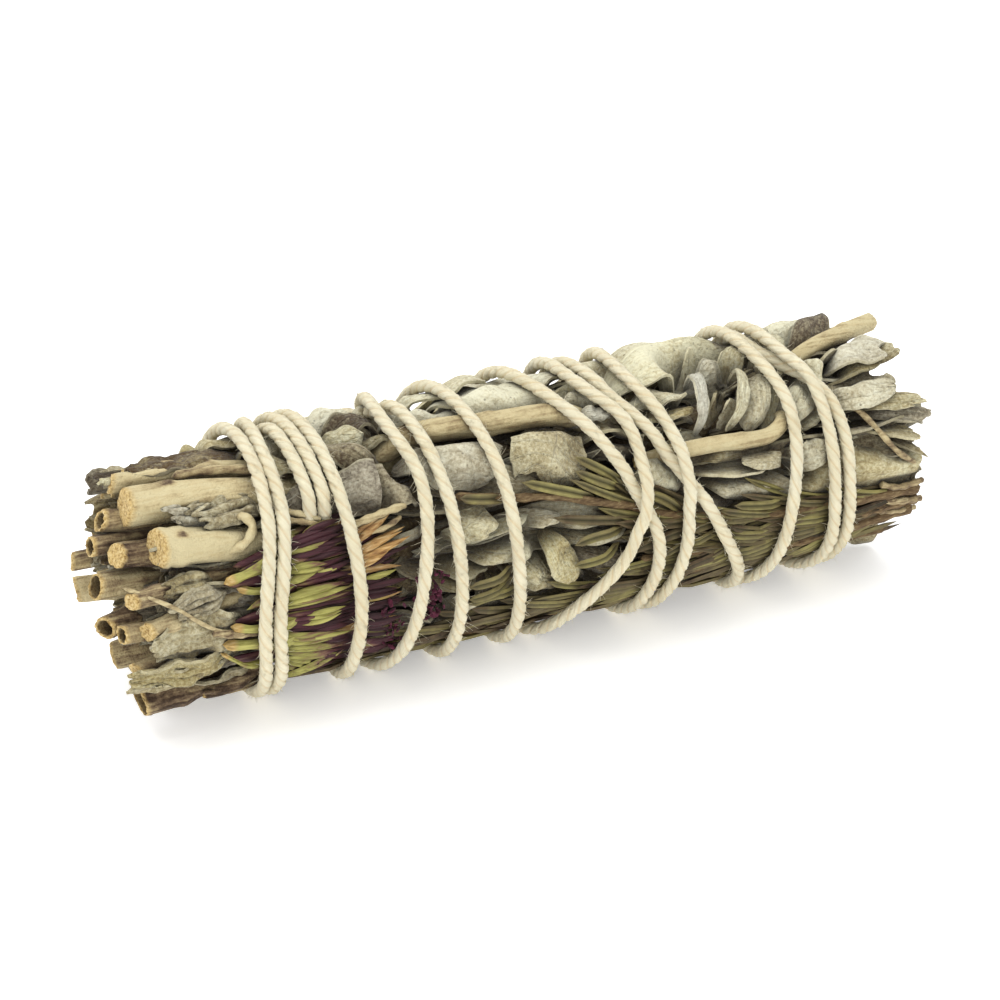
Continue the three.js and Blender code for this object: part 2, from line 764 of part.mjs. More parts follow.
// Adds a piece cut clear of the pieces that lie over it
function add(name, colour, roughness, shape, grown) {
  const clear = covered ? shape.subtract(covered) : shape;
  let body = largestBody(clear.simplify(SMALLEST_FEATURE));
  for (const other of bodies) {
    if (body.intersect(other).volume() > SMALLEST_OVERLAP) {
      body = largestBody(body.subtract(other));
    }
  }
  bodies.push(body);
  const mesh = body.getMesh();
  const geometry = new THREE.BufferGeometry();
  geometry.setAttribute("position", new THREE.BufferAttribute(new Float32Array(mesh.vertProperties), 3));
  geometry.setIndex(new THREE.BufferAttribute(new Uint32Array(mesh.triVerts), 1));
  const material = new THREE.MeshStandardMaterial({ color: colour, roughness, metalness: 0 });
  const node = new THREE.Mesh(geometry, material);
  node.name = name;
  bunch.add(node);
  covered = covered ? covered.add(grown) : grown;
}

add("twine", COLOURS.twine, 0.9, makeTwine(0), makeTwine(GAP));

FLOWERS.forEach((flower, i) => {
  const bracts = flowerBracts(flower);
  const grown = makeFlower(flower, bracts, GAP);
  add(`flower_head_${i + 1}`, COLOURS.flower, 0.8, makeFlower(flower, bracts, 0), grown);
});

ROSEMARY.forEach((sprig, i) => {
  const needles = rosemaryNeedles(sprig);
  const grown = makeRosemary(sprig, needles, GAP);
  add(`rosemary_sprig_${i + 1}`, COLOURS.rosemary, 0.8, makeRosemary(sprig, needles, 0), grown);
});

for (let number = 1; number <= OUTER_SPRIGS + INNER_SPRIG_ANGLES.length; number += 1) {
  const outer = number <= OUTER_SPRIGS;
  const leaves = outer ? [...columnLeaves(number), ...shownLeaves(number)] : innerLeaves(number);
  const grown = makeSage(number, leaves, SHINGLE_GAP);
  add(`sage_sprig_${number}`, COLOURS.sage, 0.9, makeSage(number, leaves, 0), grown);
}

export default bunch;
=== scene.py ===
import math

import bpy
import numpy as np
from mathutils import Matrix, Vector, kdtree


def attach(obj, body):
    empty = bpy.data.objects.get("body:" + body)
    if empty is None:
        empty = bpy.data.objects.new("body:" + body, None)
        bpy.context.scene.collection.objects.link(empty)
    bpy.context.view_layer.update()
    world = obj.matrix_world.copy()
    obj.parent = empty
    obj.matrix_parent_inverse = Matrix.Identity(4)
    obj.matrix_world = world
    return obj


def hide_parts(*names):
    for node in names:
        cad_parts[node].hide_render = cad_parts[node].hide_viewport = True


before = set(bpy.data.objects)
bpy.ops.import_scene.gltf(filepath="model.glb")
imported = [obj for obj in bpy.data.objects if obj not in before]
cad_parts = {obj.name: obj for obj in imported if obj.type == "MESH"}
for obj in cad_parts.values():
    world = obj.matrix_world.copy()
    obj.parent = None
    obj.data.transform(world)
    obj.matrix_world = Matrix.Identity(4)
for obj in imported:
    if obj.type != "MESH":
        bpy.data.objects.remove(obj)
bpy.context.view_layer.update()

bl_info = {
    "name": "Dried sage bunch",
    "version": (1, 0, 0),
    "blender": (4, 5, 0),
    "location": "3D View > Sidebar > Bunch",
    "description": "Sage, rosemary and flower heads bound with cotton twine",
    "category": "Add Mesh",
}

MM = 0.001
AXIS_HEIGHT = 17.0
ON_AXIS = 1e-3
MIDDLE_RADIUS = 16.0
SPRIGS = 12
OUTER_SPRIGS = 9
FIRST_SPRIG_ANGLE = 60
SPRIG_SPACING = 40
INNER_SPRIG_ANGLES = (75, 315, 195)
HIGHEST_LEAF = 1.5
LOWEST_LEAF = 0.25
LOWEST_TWINE = 0.02
LOWEST_FIBRE = 0.1
FIBRES = 6500
CRUMBS = 90
SMALL_BRACTS = 20
SAGE_SEED = 20417
ROSEMARY_SEED = 311
FLOWER_SEED = 77
TWINE_SEED = 5
FLOOR_SIZE = 6
CAMERA_TURN = -25
CAMERA_RISE = 27.5
CAMERA_AIM = (-0.001, 0, 0.0175)
CAMERA_DISTANCE = 0.33
CAMERA_LENS = 91
LIGHT_AIM = (0, 0, 0.015)

# Rosemary lying on the sage: twig path as (x mm, angle), which end the tips point to, twig radius, reach
# of the needles, their spread at tip and butt, the share of the twig bare of them, their number, and
# single needles from (x, angle) to (x, angle)
ROSEMARY = (
    {"path": ((-13, 38), (-5, 31), (0, 28), (5, 22), (10, 16), (17.5, 5), (34, -7), (55, -12)),
     "tip": -1, "twig": 0.8, "reach": 1.7, "spread": (9, 7), "bare": 0.45, "needles": 44,
     "placed": ((10.5, 26, 4, 43.5), (9.5, 25, 3.5, 37), (6, 23, -4, 37), (-6, 32, -12.5, 36),
                (9.5, 5, 2, 3), (9, -3, 2, -8), (18, 6, 12.5, 20), (34, 1, 25, 5),
                (-6, -2, -12.5, -7), (-6, -10, -12.5, -14), (-5, -16, -12.5, -17))},
    {"path": ((-10, -37), (8, -35), (25, -34), (42, -32), (55, -27)),
     "tip": -1, "twig": 0.8, "reach": 2.8, "spread": (9, 6), "bare": 0.0, "needles": 66, "placed": ()},
    {"path": ((-46, -62), (-25, -66), (-5, -64), (15, -62), (36, -58), (54, -52)),
     "tip": 1, "twig": 0.8, "reach": 3.2, "spread": (10, 9), "bare": 0.0, "needles": 84, "placed": ()},
    {"path": ((12, -15), (25, -20), (40, -21), (55, -19)),
     "tip": -1, "twig": 0.8, "reach": 2.6, "spread": (7, 5), "bare": 0.25, "needles": 56,
     "placed": ((33, -18, 22.5, -9), (44, -18, 31.5, -11), (45, -22, 33, -19))},
)

# Flower heads: path as (x mm, angle) from the cut stalk to the tips, and width
FLOWERS = (
    {"path": ((-43.5, 19), (-35, 20), (-22, 20)), "width": 4.6},
    {"path": ((-42, 27), (-36, 29), (-26, 33)), "width": 3.4},
    {"path": ((-43.5, -3), (-34, -1), (-20, 1)), "width": 5.0},
    {"path": ((-44, -15), (-34, -17), (-20.5, -16)), "width": 4.4},
    {"path": ((-43.5, -27), (-34, -34), (-21, -40)), "width": 4.8},
)

# Bracts that show: flower, from (x, angle) to (x, angle), width, colour at foot and tip from
# yellow green 0 to dark purple 1, and how far faded to straw
BRACTS = (
    (1, -35.5, 20, -30, 19, 1.5, 0.0, 0.2, 0), (1, -38, 19, -32.5, 20, 2.6, 0.0, 0.2, 0),
    (1, -37.5, 22, -32, 22.5, 1.6, 0.0, 0.3, 0), (1, -33.5, 17.5, -27, 18.5, 0.5, 0.05, 0.1, 0),
    (1, -36, 18, -27.5, 22, 2.4, 0.35, 0.95, 0), (1, -36, 15.5, -27, 15.5, 2.2, 0.35, 0.95, 0),
    (1, -38, 14.5, -33, 15, 1.8, 0.0, 0.2, 0), (1, -36, 13.2, -29, 13.4, 1.3, 0.6, 0.95, 0),
    (2, -36, 28.5, -29.5, 31, 1.1, 0.0, 0.15, 0), (2, -37, 30, -28, 34, 2.4, 0.6, 0.9, 0),
    (2, -37, 25.5, -27.5, 28, 2.6, 0.55, 0.9, 0), (2, -34, 33, -27, 37, 1.8, 0.7, 0.95, 0),
    (2, -34, 23.5, -26, 24, 1.2, 0.6, 0.9, 0), (2, -37, 33, -32, 34, 1.0, 0.1, 0.3, 0),
    (3, -34, -5, -28.5, -3.5, 1.9, 0.0, 0.12, 0), (3, -37.5, 6, -28, 8.5, 1.8, 0.05, 0.3, 0),
    (3, -37.5, 4, -28.5, 5, 1.2, 0.05, 0.35, 0), (3, -36, 8.6, -29, 10.2, 1.0, 0.1, 0.4, 0),
    (3, -37.5, -2.5, -28, -2, 2.8, 0.45, 0.85, 0), (3, -37, -7, -28, -8, 2.4, 0.42, 0.85, 0),
    (3, -36, -10, -28.5, -10.5, 1.8, 0.25, 0.8, 0), (3, -33, 1.8, -27, 2.4, 1.4, 0.75, 0.95, 0),
    (4, -38, -11, -28.5, -16, 1.5, 0.0, 0.2, 0), (4, -38, -14, -28.5, -19, 1.7, 0.05, 0.25, 0),
    (4, -37.5, -17, -29, -22, 1.7, 0.05, 0.25, 0), (4, -37, -20.5, -29, -26.5, 1.6, 0.05, 0.3, 0),
    (4, -34, -13, -28, -13.5, 0.9, 0.5, 0.9, 0), (4, -33, -20, -27.5, -23, 1.0, 0.55, 0.9, 0),
    (5, -36, -50, -29.5, -30, 1.9, 0.02, 0.12, 0), (5, -37, -25, -29.5, -31, 1.7, 0.05, 0.3, 0),
    (5, -33, -31, -28.5, -37, 2.2, 0.5, 0.8, 0), (5, -37, -30, -30, -39, 1.8, 0.05, 0.3, 0),
    (5, -36.5, -36, -29.5, -46, 1.8, 0.1, 0.35, 0), (5, -36, -43, -29, -52, 1.6, 0.2, 0.5, 0),
    (2, -27.5, 27, -20, 37.5, 1.7, 0.6, 0.8, 0.75), (1, -27.5, 15.5, -20.3, 23, 1.8, 0.3, 0.5, 1),
    (1, -27.5, 18.5, -20.8, 28, 1.4, 0.3, 0.5, 0.9), (1, -27, 13.5, -20, 18.5, 1.2, 0.85, 0.95, 0),
    (3, -27, 8, -21.5, 9.5, 0.7, 0.05, 0.15, 0), (3, -27.5, 5, -21, 5, 1.5, 0.85, 1, 0),
    (3, -27.5, 0, -20.5, -1.5, 1.6, 0.85, 1, 0), (3, -26.5, -4, -21, -3, 0.8, 0.0, 0.3, 0.5),
    (3, -27, -8, -20.5, -9, 1.7, 0.8, 1, 0), (4, -27, -13, -20.5, -14, 1.6, 0.8, 1, 0),
    (4, -27, -17, -21, -19, 1.2, 0.6, 0.9, 0), (4, -27, -22, -20.5, -25, 1.5, 0.8, 1, 0),
    (5, -27, -30, -21, -33, 1.5, 0.3, 0.7, 0), (5, -27, -38, -21, -42, 1.5, 0.4, 0.8, 0),
)

# Flower stalks cut short at the left: flower, thickness, path of (x, angle, radius)
STUBS = (
    (1, 1.7, ((-43.6, 20, 14.2), (-41.5, 22, 14.8), (-38, 25, 15.0), (-34, 27, 14.4))),
    (1, 1.4, ((-42, 16.5, 13.8), (-40, 13.5, 14.4), (-37, 13, 14.6), (-34, 14, 14.2))),
    (3, 1.7, ((-43.5, -1.5, 14.6), (-41, -4, 15.2), (-38, -5, 15.2), (-34, -4, 14.4))),
    (4, 2.1, ((-44.6, -10, 14.8), (-42, -11.5, 15.3), (-38, -13, 15.3), (-34, -14, 14.4))),
    (5, 0.8, ((-44.8, -15, 14.8), (-43, -21, 15.2), (-41, -27, 15.3), (-37, -32, 14.6))),
)

# Half thickness of a flower stalk at each ring, from its cut end to the head, as a share of its own
STUB_SHAPE = (0, 0.62, 0.7, 0.64, 0.58, 0.58, 0.64, 0.74, 0.86, 1, 1.1, 1.15, 1.15, 1, 0.8, 0.6, 0)

# Twine: x of each pass over the front, at the angles of PASS_ANGLES
PASS_ANGLES = (90, 45, 0, -45)
PASSES_OUT = (
    (-31.6, -31.4, -31.2, -31.2),
    (-29.7, -29.5, -29.3, -29.3),
    (-27.8, -27.6, -27.3, -27.3),
    (-15.6, -14.4, -14.0, -13.6),
    (-8.2, -6.8, -6.2, -5.0),
    (2.4, 8.0, 13.4, 13.4),
    (10.5, 15.0, 22.2, 28.2),
    (36.4, 41.4, 42.2, 43.4),
)
PASSES_BACK = (
    (37.5, 39.5, 39.8, 41.1),
    (33.6, 35.0, 33.3, 32.2),
    (15.0, 17.4, 17.8, 16.6),
    (8.0, 12.2, 9.9, 1.6),
    (-18.1, -17.1, -19.2, -21.2),
    (-34.2, -35.2, -37.7, -36.8),
    (-36.1, -37.1, -39.6, -38.7),
)

# Sage stems from the cut end inwards: sprig, diameter, hollow, tone, path of (x, angle, radius), and what
# sets each apart
STEMS = (
    (1, 4.6, False, 0.2, ((-52.4, 74, 13), (-44, 70, 13), (-36, 66, 12), (-24, 62, 9)), {"scar": 5.4}),
    (1, 2.8, True, 0.55, ((-55, 80, 10.6), (-46, 72, 9.4), (-36, 62, 8.4)), {"bore": 0.62}),
    (2, 2.5, False, 0.16, ((-52.8, 92, 13.8), (-44, 88, 13.7), (-36, 88, 12.6), (-26, 92, 9)),
     {"scar": 12}),
    (2, 2.6, True, 0.7, ((-56.8, 68, 8.5), (-47, 74, 7.6), (-37, 80, 6.4)), {}),
    (2, 1.8, False, 0.45, ((-50.5, 104, 13.4), (-44, 103, 13.4), (-36, 100, 11.6)), {}),
    (3, 3.4, True, 0.5, ((-50.5, 124, 12.4), (-45, 128, 11.8), (-35, 136, 8.6)), {}),
    (3, 2.2, False, 0.3, ((-51, 145, 13.4), (-44, 147, 12.6), (-36, 150, 9.6)), {}),
    (4, 4.0, True, 0.4, ((-52, 166, 12.6), (-44, 170, 12), (-35, 178, 8.6)), {"scar": 6}),
    (4, 2.4, False, 0.6, ((-56, 184, 9.6), (-47, 184, 9), (-36, 184, 7)), {}),
    (5, 3.2, True, 0.3, ((-55.5, 207, 12), (-46, 211, 11), (-36, 217, 8.4)), {}),
    (5, 2.2, True, 0.55, ((-51, 226, 13.2), (-44, 228, 12.4), (-36, 230, 9)), {}),
    (6, 3.8, False, 0.6, ((-53, 252, 12.6), (-45, 254, 11.8), (-35, 258, 8.6)), {"scar": 7}),
    (7, 4.2, True, 0.85, ((-53.4, 303, 14.2), (-46, 302, 13.6), (-35, 301, 9)),
     {"flare": 0.16, "bore": 0.86}),
    (7, 2.0, False, 0.8, ((-45.8, 304, 14.9), (-42, 307, 14.9), (-37, 309, 13)), {}),
    (8, 2.6, False, 0.5, ((-54.8, 338, 13.6), (-47, 338, 12), (-36, 337, 8.6)), {}),
    (8, 2.4, True, 0.6, ((-56, 359, 11.4), (-47, 354, 10.6), (-36, 345, 8.4)), {}),
    (9, 4.2, False, 0.02, ((-50.4, 45, 13.1), (-44, 42, 12.6), (-38, 38, 11.4), (-28, 30, 8.4)),
     {"flare": 0.2, "scar": 2.8}),
    (9, 3.2, True, 0.45, ((-57.1, 34, 6.2), (-48, 30, 5.6), (-36, 20, 5)), {"bore": 0.8}),
    (9, 3.0, False, 0.75, ((-54.6, 51, 10), (-46, 46, 9.4), (-36, 40, 8)), {}),
    (9, 2.4, False, 0.4, ((-53.4, 2, 13.2), (-46, 6, 12.2), (-36, 12, 9)), {}),
    (9, 2.2, False, 0.65, ((-54.8, 20, 13), (-47, 22, 11.6), (-36, 24, 8.6)), {}),
    (10, 3.0, True, 0.6, ((-54, 100, 4.6), (-47, 98, 4), (-36, 90, 3)), {}),
    (11, 2.8, True, 0.7, ((-57, 352, 7.6), (-48, 350, 5), (-36, 340, 3)), {}),
    (12, 3.2, False, 0.5, ((-54, 202, 6), (-47, 200, 4.5), (-36, 198, 3)), {}),
)

# Leaf stalks that show on the surface, both ends sunk into the bunch
STALKS = (
    (1, 2.9, 0.3, ((-20, 80, 10.5), (-15, 76, 14.7), (-5, 72.5, 15.0), (5, 69, 14.9), (11, 66, 11)),
     {"scar": 6.5}),
    (9, 2.1, 0.2, ((14, 36.5, 11), (18, 36.5, 14.6), (24, 36.2, 15.2), (29, 34.5, 15.2), (32, 35, 15.1),
                    (34.3, 40, 14.9), (35.2, 46, 12.5)), {}),
    (2, 2.4, 0.2, ((38, 82, 10), (43, 84, 13.6), (49, 90, 14.5), (56.6, 99, 14.7)), {}),
)

# Leaves that show: from (x, angle) to (x, angle), turn on the way, width, roll, tone from pale 0 to
# brown 1, and what sets each apart
SHOWN_LEAVES = (
    (-12.5, 114, -1, 110, 0, 7, 0.4, 0.2, {"high": 0.3, "edge": 0.3, "wave": 0.1, "twist": 0, "skew": 0}),
    (-40, 112, -30, 114, 0, 7, 0.5, 0.5, {"high": 0.2, "edge": 0.3, "wave": 0.1, "twist": 0, "skew": 0}),
    (-0.5, 6, 2.8, -21, 15, 4.4, 1.1, 0.32, {"high": 0.4, "jag": 0.5}),
    (6.5, 66, 10.5, 60, 0, 2.5, 1.6, 0.08, {}),
    (6.8, 79, 11.5, 73, 0, 3, 1.5, 0.06, {}),
    (-14, 20, -8.8, 26, 0, 4.2, 1.2, 0.25, {"kept": 0.8}),
    (-17, 14, -4, 21, 0, 2.2, -1.2, 0.1, {}),
    (-17, 10, -5, 17, 0, 2, 0.9, 0.06, {}),
    (-9, 16, 0.5, 17, -40, 3, 1.2, 0.3, {}),
    (-6, 17, 8.5, 12, -25, 4.5, 0.8, 0.35, {}),
    (1, 18, 9, 11, -35, 4, 0.9, 0.45, {}),
    (-13.5, 10, 9, 4, -10, 5.5, -0.8, 0.25, {}),
    (-16, 8, -4, 10, 0, 2.6, 0.9, 0.3, {}),
    (-14.5, 1, -5, 8, 0, 4, 0.8, 0.4, {}),
    (3.8, 64, -1, 36, 0, 10.5, 0.25, 0.42,
     {"veins": 1.0, "jag": 1.2, "kept": 0.8, "crumple": 0.6, "full": 0.7}),
    (-17, 62, -6.4, 50, 0, 8.4, 0.8, 0.38, {"kept": 0.85, "jag": 0.5}),
    (-15, 44, -8, 41, 0, 2.4, 1.8, 0.85, {}),
    (-9, 108, 4.5, 77, -12, 9.5, 0.5, 0.0, {}),
    (-16, 104, -7, 80, 0, 7, 0.9, 0.05, {}),
    (-6, 125, 8, 100, 0, 8, 0.6, 0.05, {}),
    (-5, 6, -1.8, -13, 30, 4, 1.0, 0.4, {}),
    (-6.5, -2, 4.5, -26, 0, 5.5, 0.8, 0.5, {}),
    (3.5, -8, 10, -22, 0, 5, 0.8, 0.55, {}),
    (-7, -16, 5, -33, 0, 5, 0.9, 0.45, {}),
    (-13, -26, -5, -38, 0, 6, 0.8, 0.3, {}),
    (-5, -27, 4, -38, 0, 7, 0.7, 0.3, {}),
    (11.5, 18, 17, 28, 0, 6.5, 0.6, 0.22, {"kept": 0.85}),
    (24.4, 76, 21.8, 44, -28, 1.9, 1.3, 0.08, {"tilt": -12}),
    (30.4, 73, 26.4, 43, -55, 2.0, 1.2, 0.15, {"tilt": -16}),
    (28.6, 57, 25.6, 45, -15, 1.6, 1.4, 0.35, {}),
    (27.2, 63, 23.8, 47, -25, 1.5, 1.6, 0.6, {}),
    (25.8, 61, 25.2, 50, 20, 1.3, 1.6, 0.75, {}),
    (28.8, 68, 26.6, 57, 25, 2.2, 1.2, 0.4, {}),
    (24, 78, 30.6, 80, 0, 2.0, 1.4, 0.12, {}),
    (32.4, 72, 29.2, 41, -50, 3.8, 0.5, 0.28, {"tilt": -8}),
    (34.8, 70, 31.8, 39, -36, 2.4, 0.9, 0.18, {"tilt": -10}),
    (28, 74, 34, 88, 0, 4, 0.9, 0.1, {}),
    (24, 80, 34, 86, 0, 5, 0.8, 0.04, {}),
    (14, 84, 33, 93, 10, 8, 0.7, 0.02, {}),
    (14.5, 66, 21.8, 68, 0, 4.2, 1.2, 0.2, {"kept": 0.85}),
    (14, 60, 22, 56, 0, 3.5, 1.0, 0.45, {}),
    (16, 33, 23, 44, 0, 4, -0.8, 0.15, {}),
    (33, 22, 27, 25, 0, 2.6, 1.6, 0.35, {}),
    (18, 31, 33, 29, 0, 2, 1.2, 0.5, {}),
    (18.5, 29, 33, 20, 0, 3, 0.9, 0.35, {}),
    (23.5, 17, 34, 6, 0, 5, 0.8, 0.3, {}),
    (23, 24, 34.5, 11, 0, 3.4, 1.0, 0.25, {}),
    (17, 24, 26.5, 5, 0, 8, 0.5, 0.62, {"veins": 0.6}),
    (33, 70, 41, 92, 0, 7, 0.8, 0.15, {}),
    (42, 75, 35.5, 40, 0, 6, 0.6, 0.22, {}),
    (40.5, 50, 36, 36, 0, 4.5, 1.1, 0.25, {}),
    (33.5, 16, 40, 24, 0, 4.5, 0.8, 0.3, {}),
    (40, 72, 50.5, 112, -10, 5, 0.9, 0.95, {}),
    (40, 84, 52, 66, 0, 7, 0.7, 0.26, {"kept": 0.9, "jag": 0.5}),
    (41, 70, 51.5, 62, 0, 5, 0.8, 0.36, {}),
    (41, 50, 50.5, 44, 0, 5.5, 0.7, 0.24, {"jag": 0.6}),
    (43, 44, 53.4, 37, 8, 2.4, 1.5, 0.4, {"kept": 0.7, "jag": 0.9}),
    (44, 39, 54.2, 29, -12, 2.8, 1.3, 0.62, {"kept": 0.65, "jag": 0.9}),
    (45, 34, 52.4, 24, 6, 3.2, 1.2, 0.5, {"kept": 0.7, "jag": 0.8}),
    (47, 29, 53.4, 15, -10, 2.6, 1.2, 0.68, {"kept": 0.7, "jag": 0.9}),
    (36.4, 8, 53.2, 2, 0, 10.2, 0.4, 0.4, {"kept": 0.9, "jag": 0.25, "crumple": 0.3}),
    (47, -2, 52, 4, 0, 3.5, -1.2, 0.4, {}),
    (-33, 50, -22.6, 50, 0, 6.5, 0.35, 0.66, {"full": 0.3, "kept": 0.8, "crumple": 0.35}),
    (-26, 49, -14.5, 49, 0, 5.8, 0.35, 0.7, {"full": 0.3, "kept": 0.8, "crumple": 0.35}),
    (-29, 82, -16, 52, 0, 4.2, 1.3, 0.85, {}),
    (-29, 84, -21.5, 79, 0, 4.5, 0.9, 0.25, {}),
    (-26, 90, -18.5, 92, 0, 3, -1.0, 0.95, {"jag": 0.8}),
    (-27, 100, -18, 104, 0, 5, 0.8, 0.06, {}),
    (-24, 83, -16, 80, 0, 3, 1.0, 0.5, {}),
    (-35, 76, -27, 70, 0, 4, 0.9, 0.4, {}),
    (-36, 96, -26, 92, 0, 5, 0.8, 0.3, {}),
    (-42, 118, -33, 111, 0, 8, 0.6, 0.45, {}),
    (-33, 114, -20, 112, 0, 8, 0.6, 0.25, {}),
    (-19, 120, -6, 112, 0, 8, 0.6, 0.3, {}),
    (8, 116, 24, 104, 0, 8, 0.6, 0.2, {}),
    (26, 112, 40, 104, 0, 8, 0.6, 0.3, {}),
)

# Leaves at the cut end, which stand free of the wrap: from (x, angle) to (x, angle), distance from the
# axis, width, roll, tone, and what sets each apart
END_LEAVES = (
    (-36, 104, -49.5, 96, 14.6, 8, 0.7, 0.9, {}),
    (-39, 112, -53, 94, 13.4, 6, 0.8, 0.12, {}),
    (-42.6, 56, -47.6, 59, 14.4, 3.5, 0.8, 0.2, {}),
    (-37, 56, -43.7, 54, 14.8, 4.5, 0.6, 0.45, {"jag": 0.9, "kept": 0.75}),
    (-40, 60, -45, 58, 14.4, 4, 0.8, 0.5, {}),
    (-45, 22, -50.3, 22, 13.4, 3.4, 1.0, 0.44, {}),
    (-43.8, 14, -49.5, 10, 14.2, 4.6, 0.8, 0.38, {}),
    (-42.5, -4, -52.3, -6, 14.6, 7.5, 0.7, 0.36, {"wave": 0.8}),
    (-44, -24, -55.2, -18, 14.6, 6, -1.2, 0.3, {"wave": 0.6}),
    (-45, -32, -55, -30, 14.6, 5, 0.9, 0.42, {}),
    (-38, 32, -48, 33, 11.6, 5, 0.8, 0.8, {}),
    (-38, 0, -50, 4, 12.2, 6, 0.8, 0.6, {}),
    (-40, -14, -51, -14, 12.6, 6, 0.9, 0.5, {}),
    (-38, -40, -50, -42, 13.0, 6, 0.8, 0.6, {}),
    (-38, -54, -49, -56, 14.2, 6, 0.8, 0.5, {}),
    (-38, 132, -51, 130, 14.2, 8, 0.8, 0.4, {}),
    (-38, 160, -50, 162, 14.2, 7, 0.8, 0.35, {}),
    (-38, 178, -49, 182, 14.4, 6, 1.0, 0.2, {}),
    (-38, 196, -51, 192, 14.2, 8, 0.8, 0.45, {}),
    (-38, 226, -50, 222, 14.2, 7, -0.8, 0.4, {}),
    (-38, 258, -51, 256, 14.4, 8, 0.9, 0.4, {}),
    (-38, 282, -50, 284, 14.6, 7, 0.9, 0.55, {}),
)

# Straws, splinters and a hooked leaf stalk: radius, tone, path of (x, angle, radius)
SCRAPS = (
    (0.26, 0.35, ((-55.5, 29, 12.6), (-50, 14, 14.6), (-47, 4, 15.0), (-44, -3, 15.0), (-39, -8, 14.4))),
    (0.5, 0.55, ((-46, -1, 15.1), (-43, -5, 15.2), (-39, -8, 14.6))),
    (0.3, 0.7, ((-46, -50, 15.2), (-42, -53, 15.6), (-37, -56, 15.0))),
    (0.25, 0.62, ((-45, -57, 15.4), (-41, -56, 15.8), (-36, -58, 15.0))),
    (0.6, 0.1, ((-40.5, 52, 13.6), (-39.4, 49, 15.0), (-38.8, 43, 15.2), (-40, 37, 14.6), (-42, 35, 13))),
    (0.6, 0.55, ((-46, 80, 14.9), (-42, 79, 15.1), (-36, 75, 14.6), (-30, 72, 12))),
    (0.45, 0.2, ((-36, 50, 14.6), (-33.5, 46, 15.2), (-30, 40, 14.8))),
    (0.4, 0.4, ((-36, 44, 14.6), (-33.5, 42, 15.2), (-30, 37, 14.8))),
    (0.5, 0.3, ((-27, 34, 15.0), (-24, 36, 15.6), (-19, 39, 15.0))),
    (0.35, 0.5, ((-27, 30, 14.8), (-23, 30, 15.4), (-20, 34, 14.8))),
    (0.4, 0.5, ((43.5, 45, 14), (45, 38, 15.8), (47, 28, 16.0), (50, 14, 15.8), (53.6, 4, 15.0))),
    (0.45, 0.6, ((48, -4, 14.6), (51, -7, 15.2), (55, -6, 15.0))),
    (0.5, 0.55, ((48, -14, 14.6), (51, -16, 15.2), (55.5, -19, 15.0))),
    (0.4, 0.5, ((49, -24, 14.6), (52, -25, 15.0), (55.5, -28, 14.6))),
)


def linear(code):
    """An sRGB hex colour as linear red, green, blue and alpha."""
    parts = [int(code[i:i + 2], 16) / 255 for i in (1, 3, 5)]
    return tuple(c / 12.92 if c <= 0.04045 else ((c + 0.055) / 1.055) ** 2.4 for c in parts) + (1.0,)


def ease(value, low, high):
    share = np.clip((value - low) / (high - low), 0, 1)
    return share * share * (3 - 2 * share)


def mix(a, b, share):
    return a + (b - a) * share


def surface_radius(x):
    return MIDDLE_RADIUS - 0.9 * ((x - 5) / 58) ** 2


def around(x, angle, radius):
    """Points by place along the bunch, angle round it (0 front, 90 top) and distance from its axis."""
    turn = np.radians(angle)
    x, radius = np.broadcast_arrays(np.asarray(x, float) + 0 * turn, radius + 0 * turn)
    return np.stack([x, -radius * np.cos(turn), AXIS_HEIGHT + radius * np.sin(turn)], -1)


def over(x, angle, height):
    return around(x, angle, surface_radius(np.asarray(x, float)) + height)


def smooth_line(knots, per_span=16):
    """A smooth line through the knots."""
    k = np.asarray(knots, float)
    first, last = np.vstack([k[:1], k[:-2]]), np.vstack([k[2:], k[-1:]])
    a, b = k[:-1], k[1:]
    t = np.linspace(0, 1, per_span, endpoint=False)[None, :, None]
    v0, v1 = ((b - first) / 2)[:, None], ((last - a) / 2)[:, None]
    a, b = a[:, None], b[:, None]
    line = (2 * a - 2 * b + v0 + v1) * t ** 3 + (3 * b - 3 * a - 2 * v0 - v1) * t ** 2 + v0 * t + a
    return np.vstack([line.reshape(-1, k.shape[1]), k[-1:]])


def evenly(line, count):
    """The line with its points spaced evenly."""
    far = np.concatenate([[0], np.cumsum(np.linalg.norm(np.diff(line, axis=0), axis=1))])
    at = np.linspace(0, far[-1], count)
    return np.stack([np.interp(at, far, line[:, i]) for i in range(line.shape[1])], -1)


def path_over(path, count):
    """A path of (x, angle) as evenly spaced x, angle and heading in degrees."""
    flat = [(x, math.radians(angle) * MIDDLE_RADIUS) for x, angle in path]
    line = evenly(smooth_line(flat), count)
    step = np.gradient(line, axis=0)
    heading = np.degrees(np.arctan2(step[:, 1], step[:, 0]))
    return line[:, 0], np.degrees(line[:, 1] / MIDDLE_RADIUS), heading


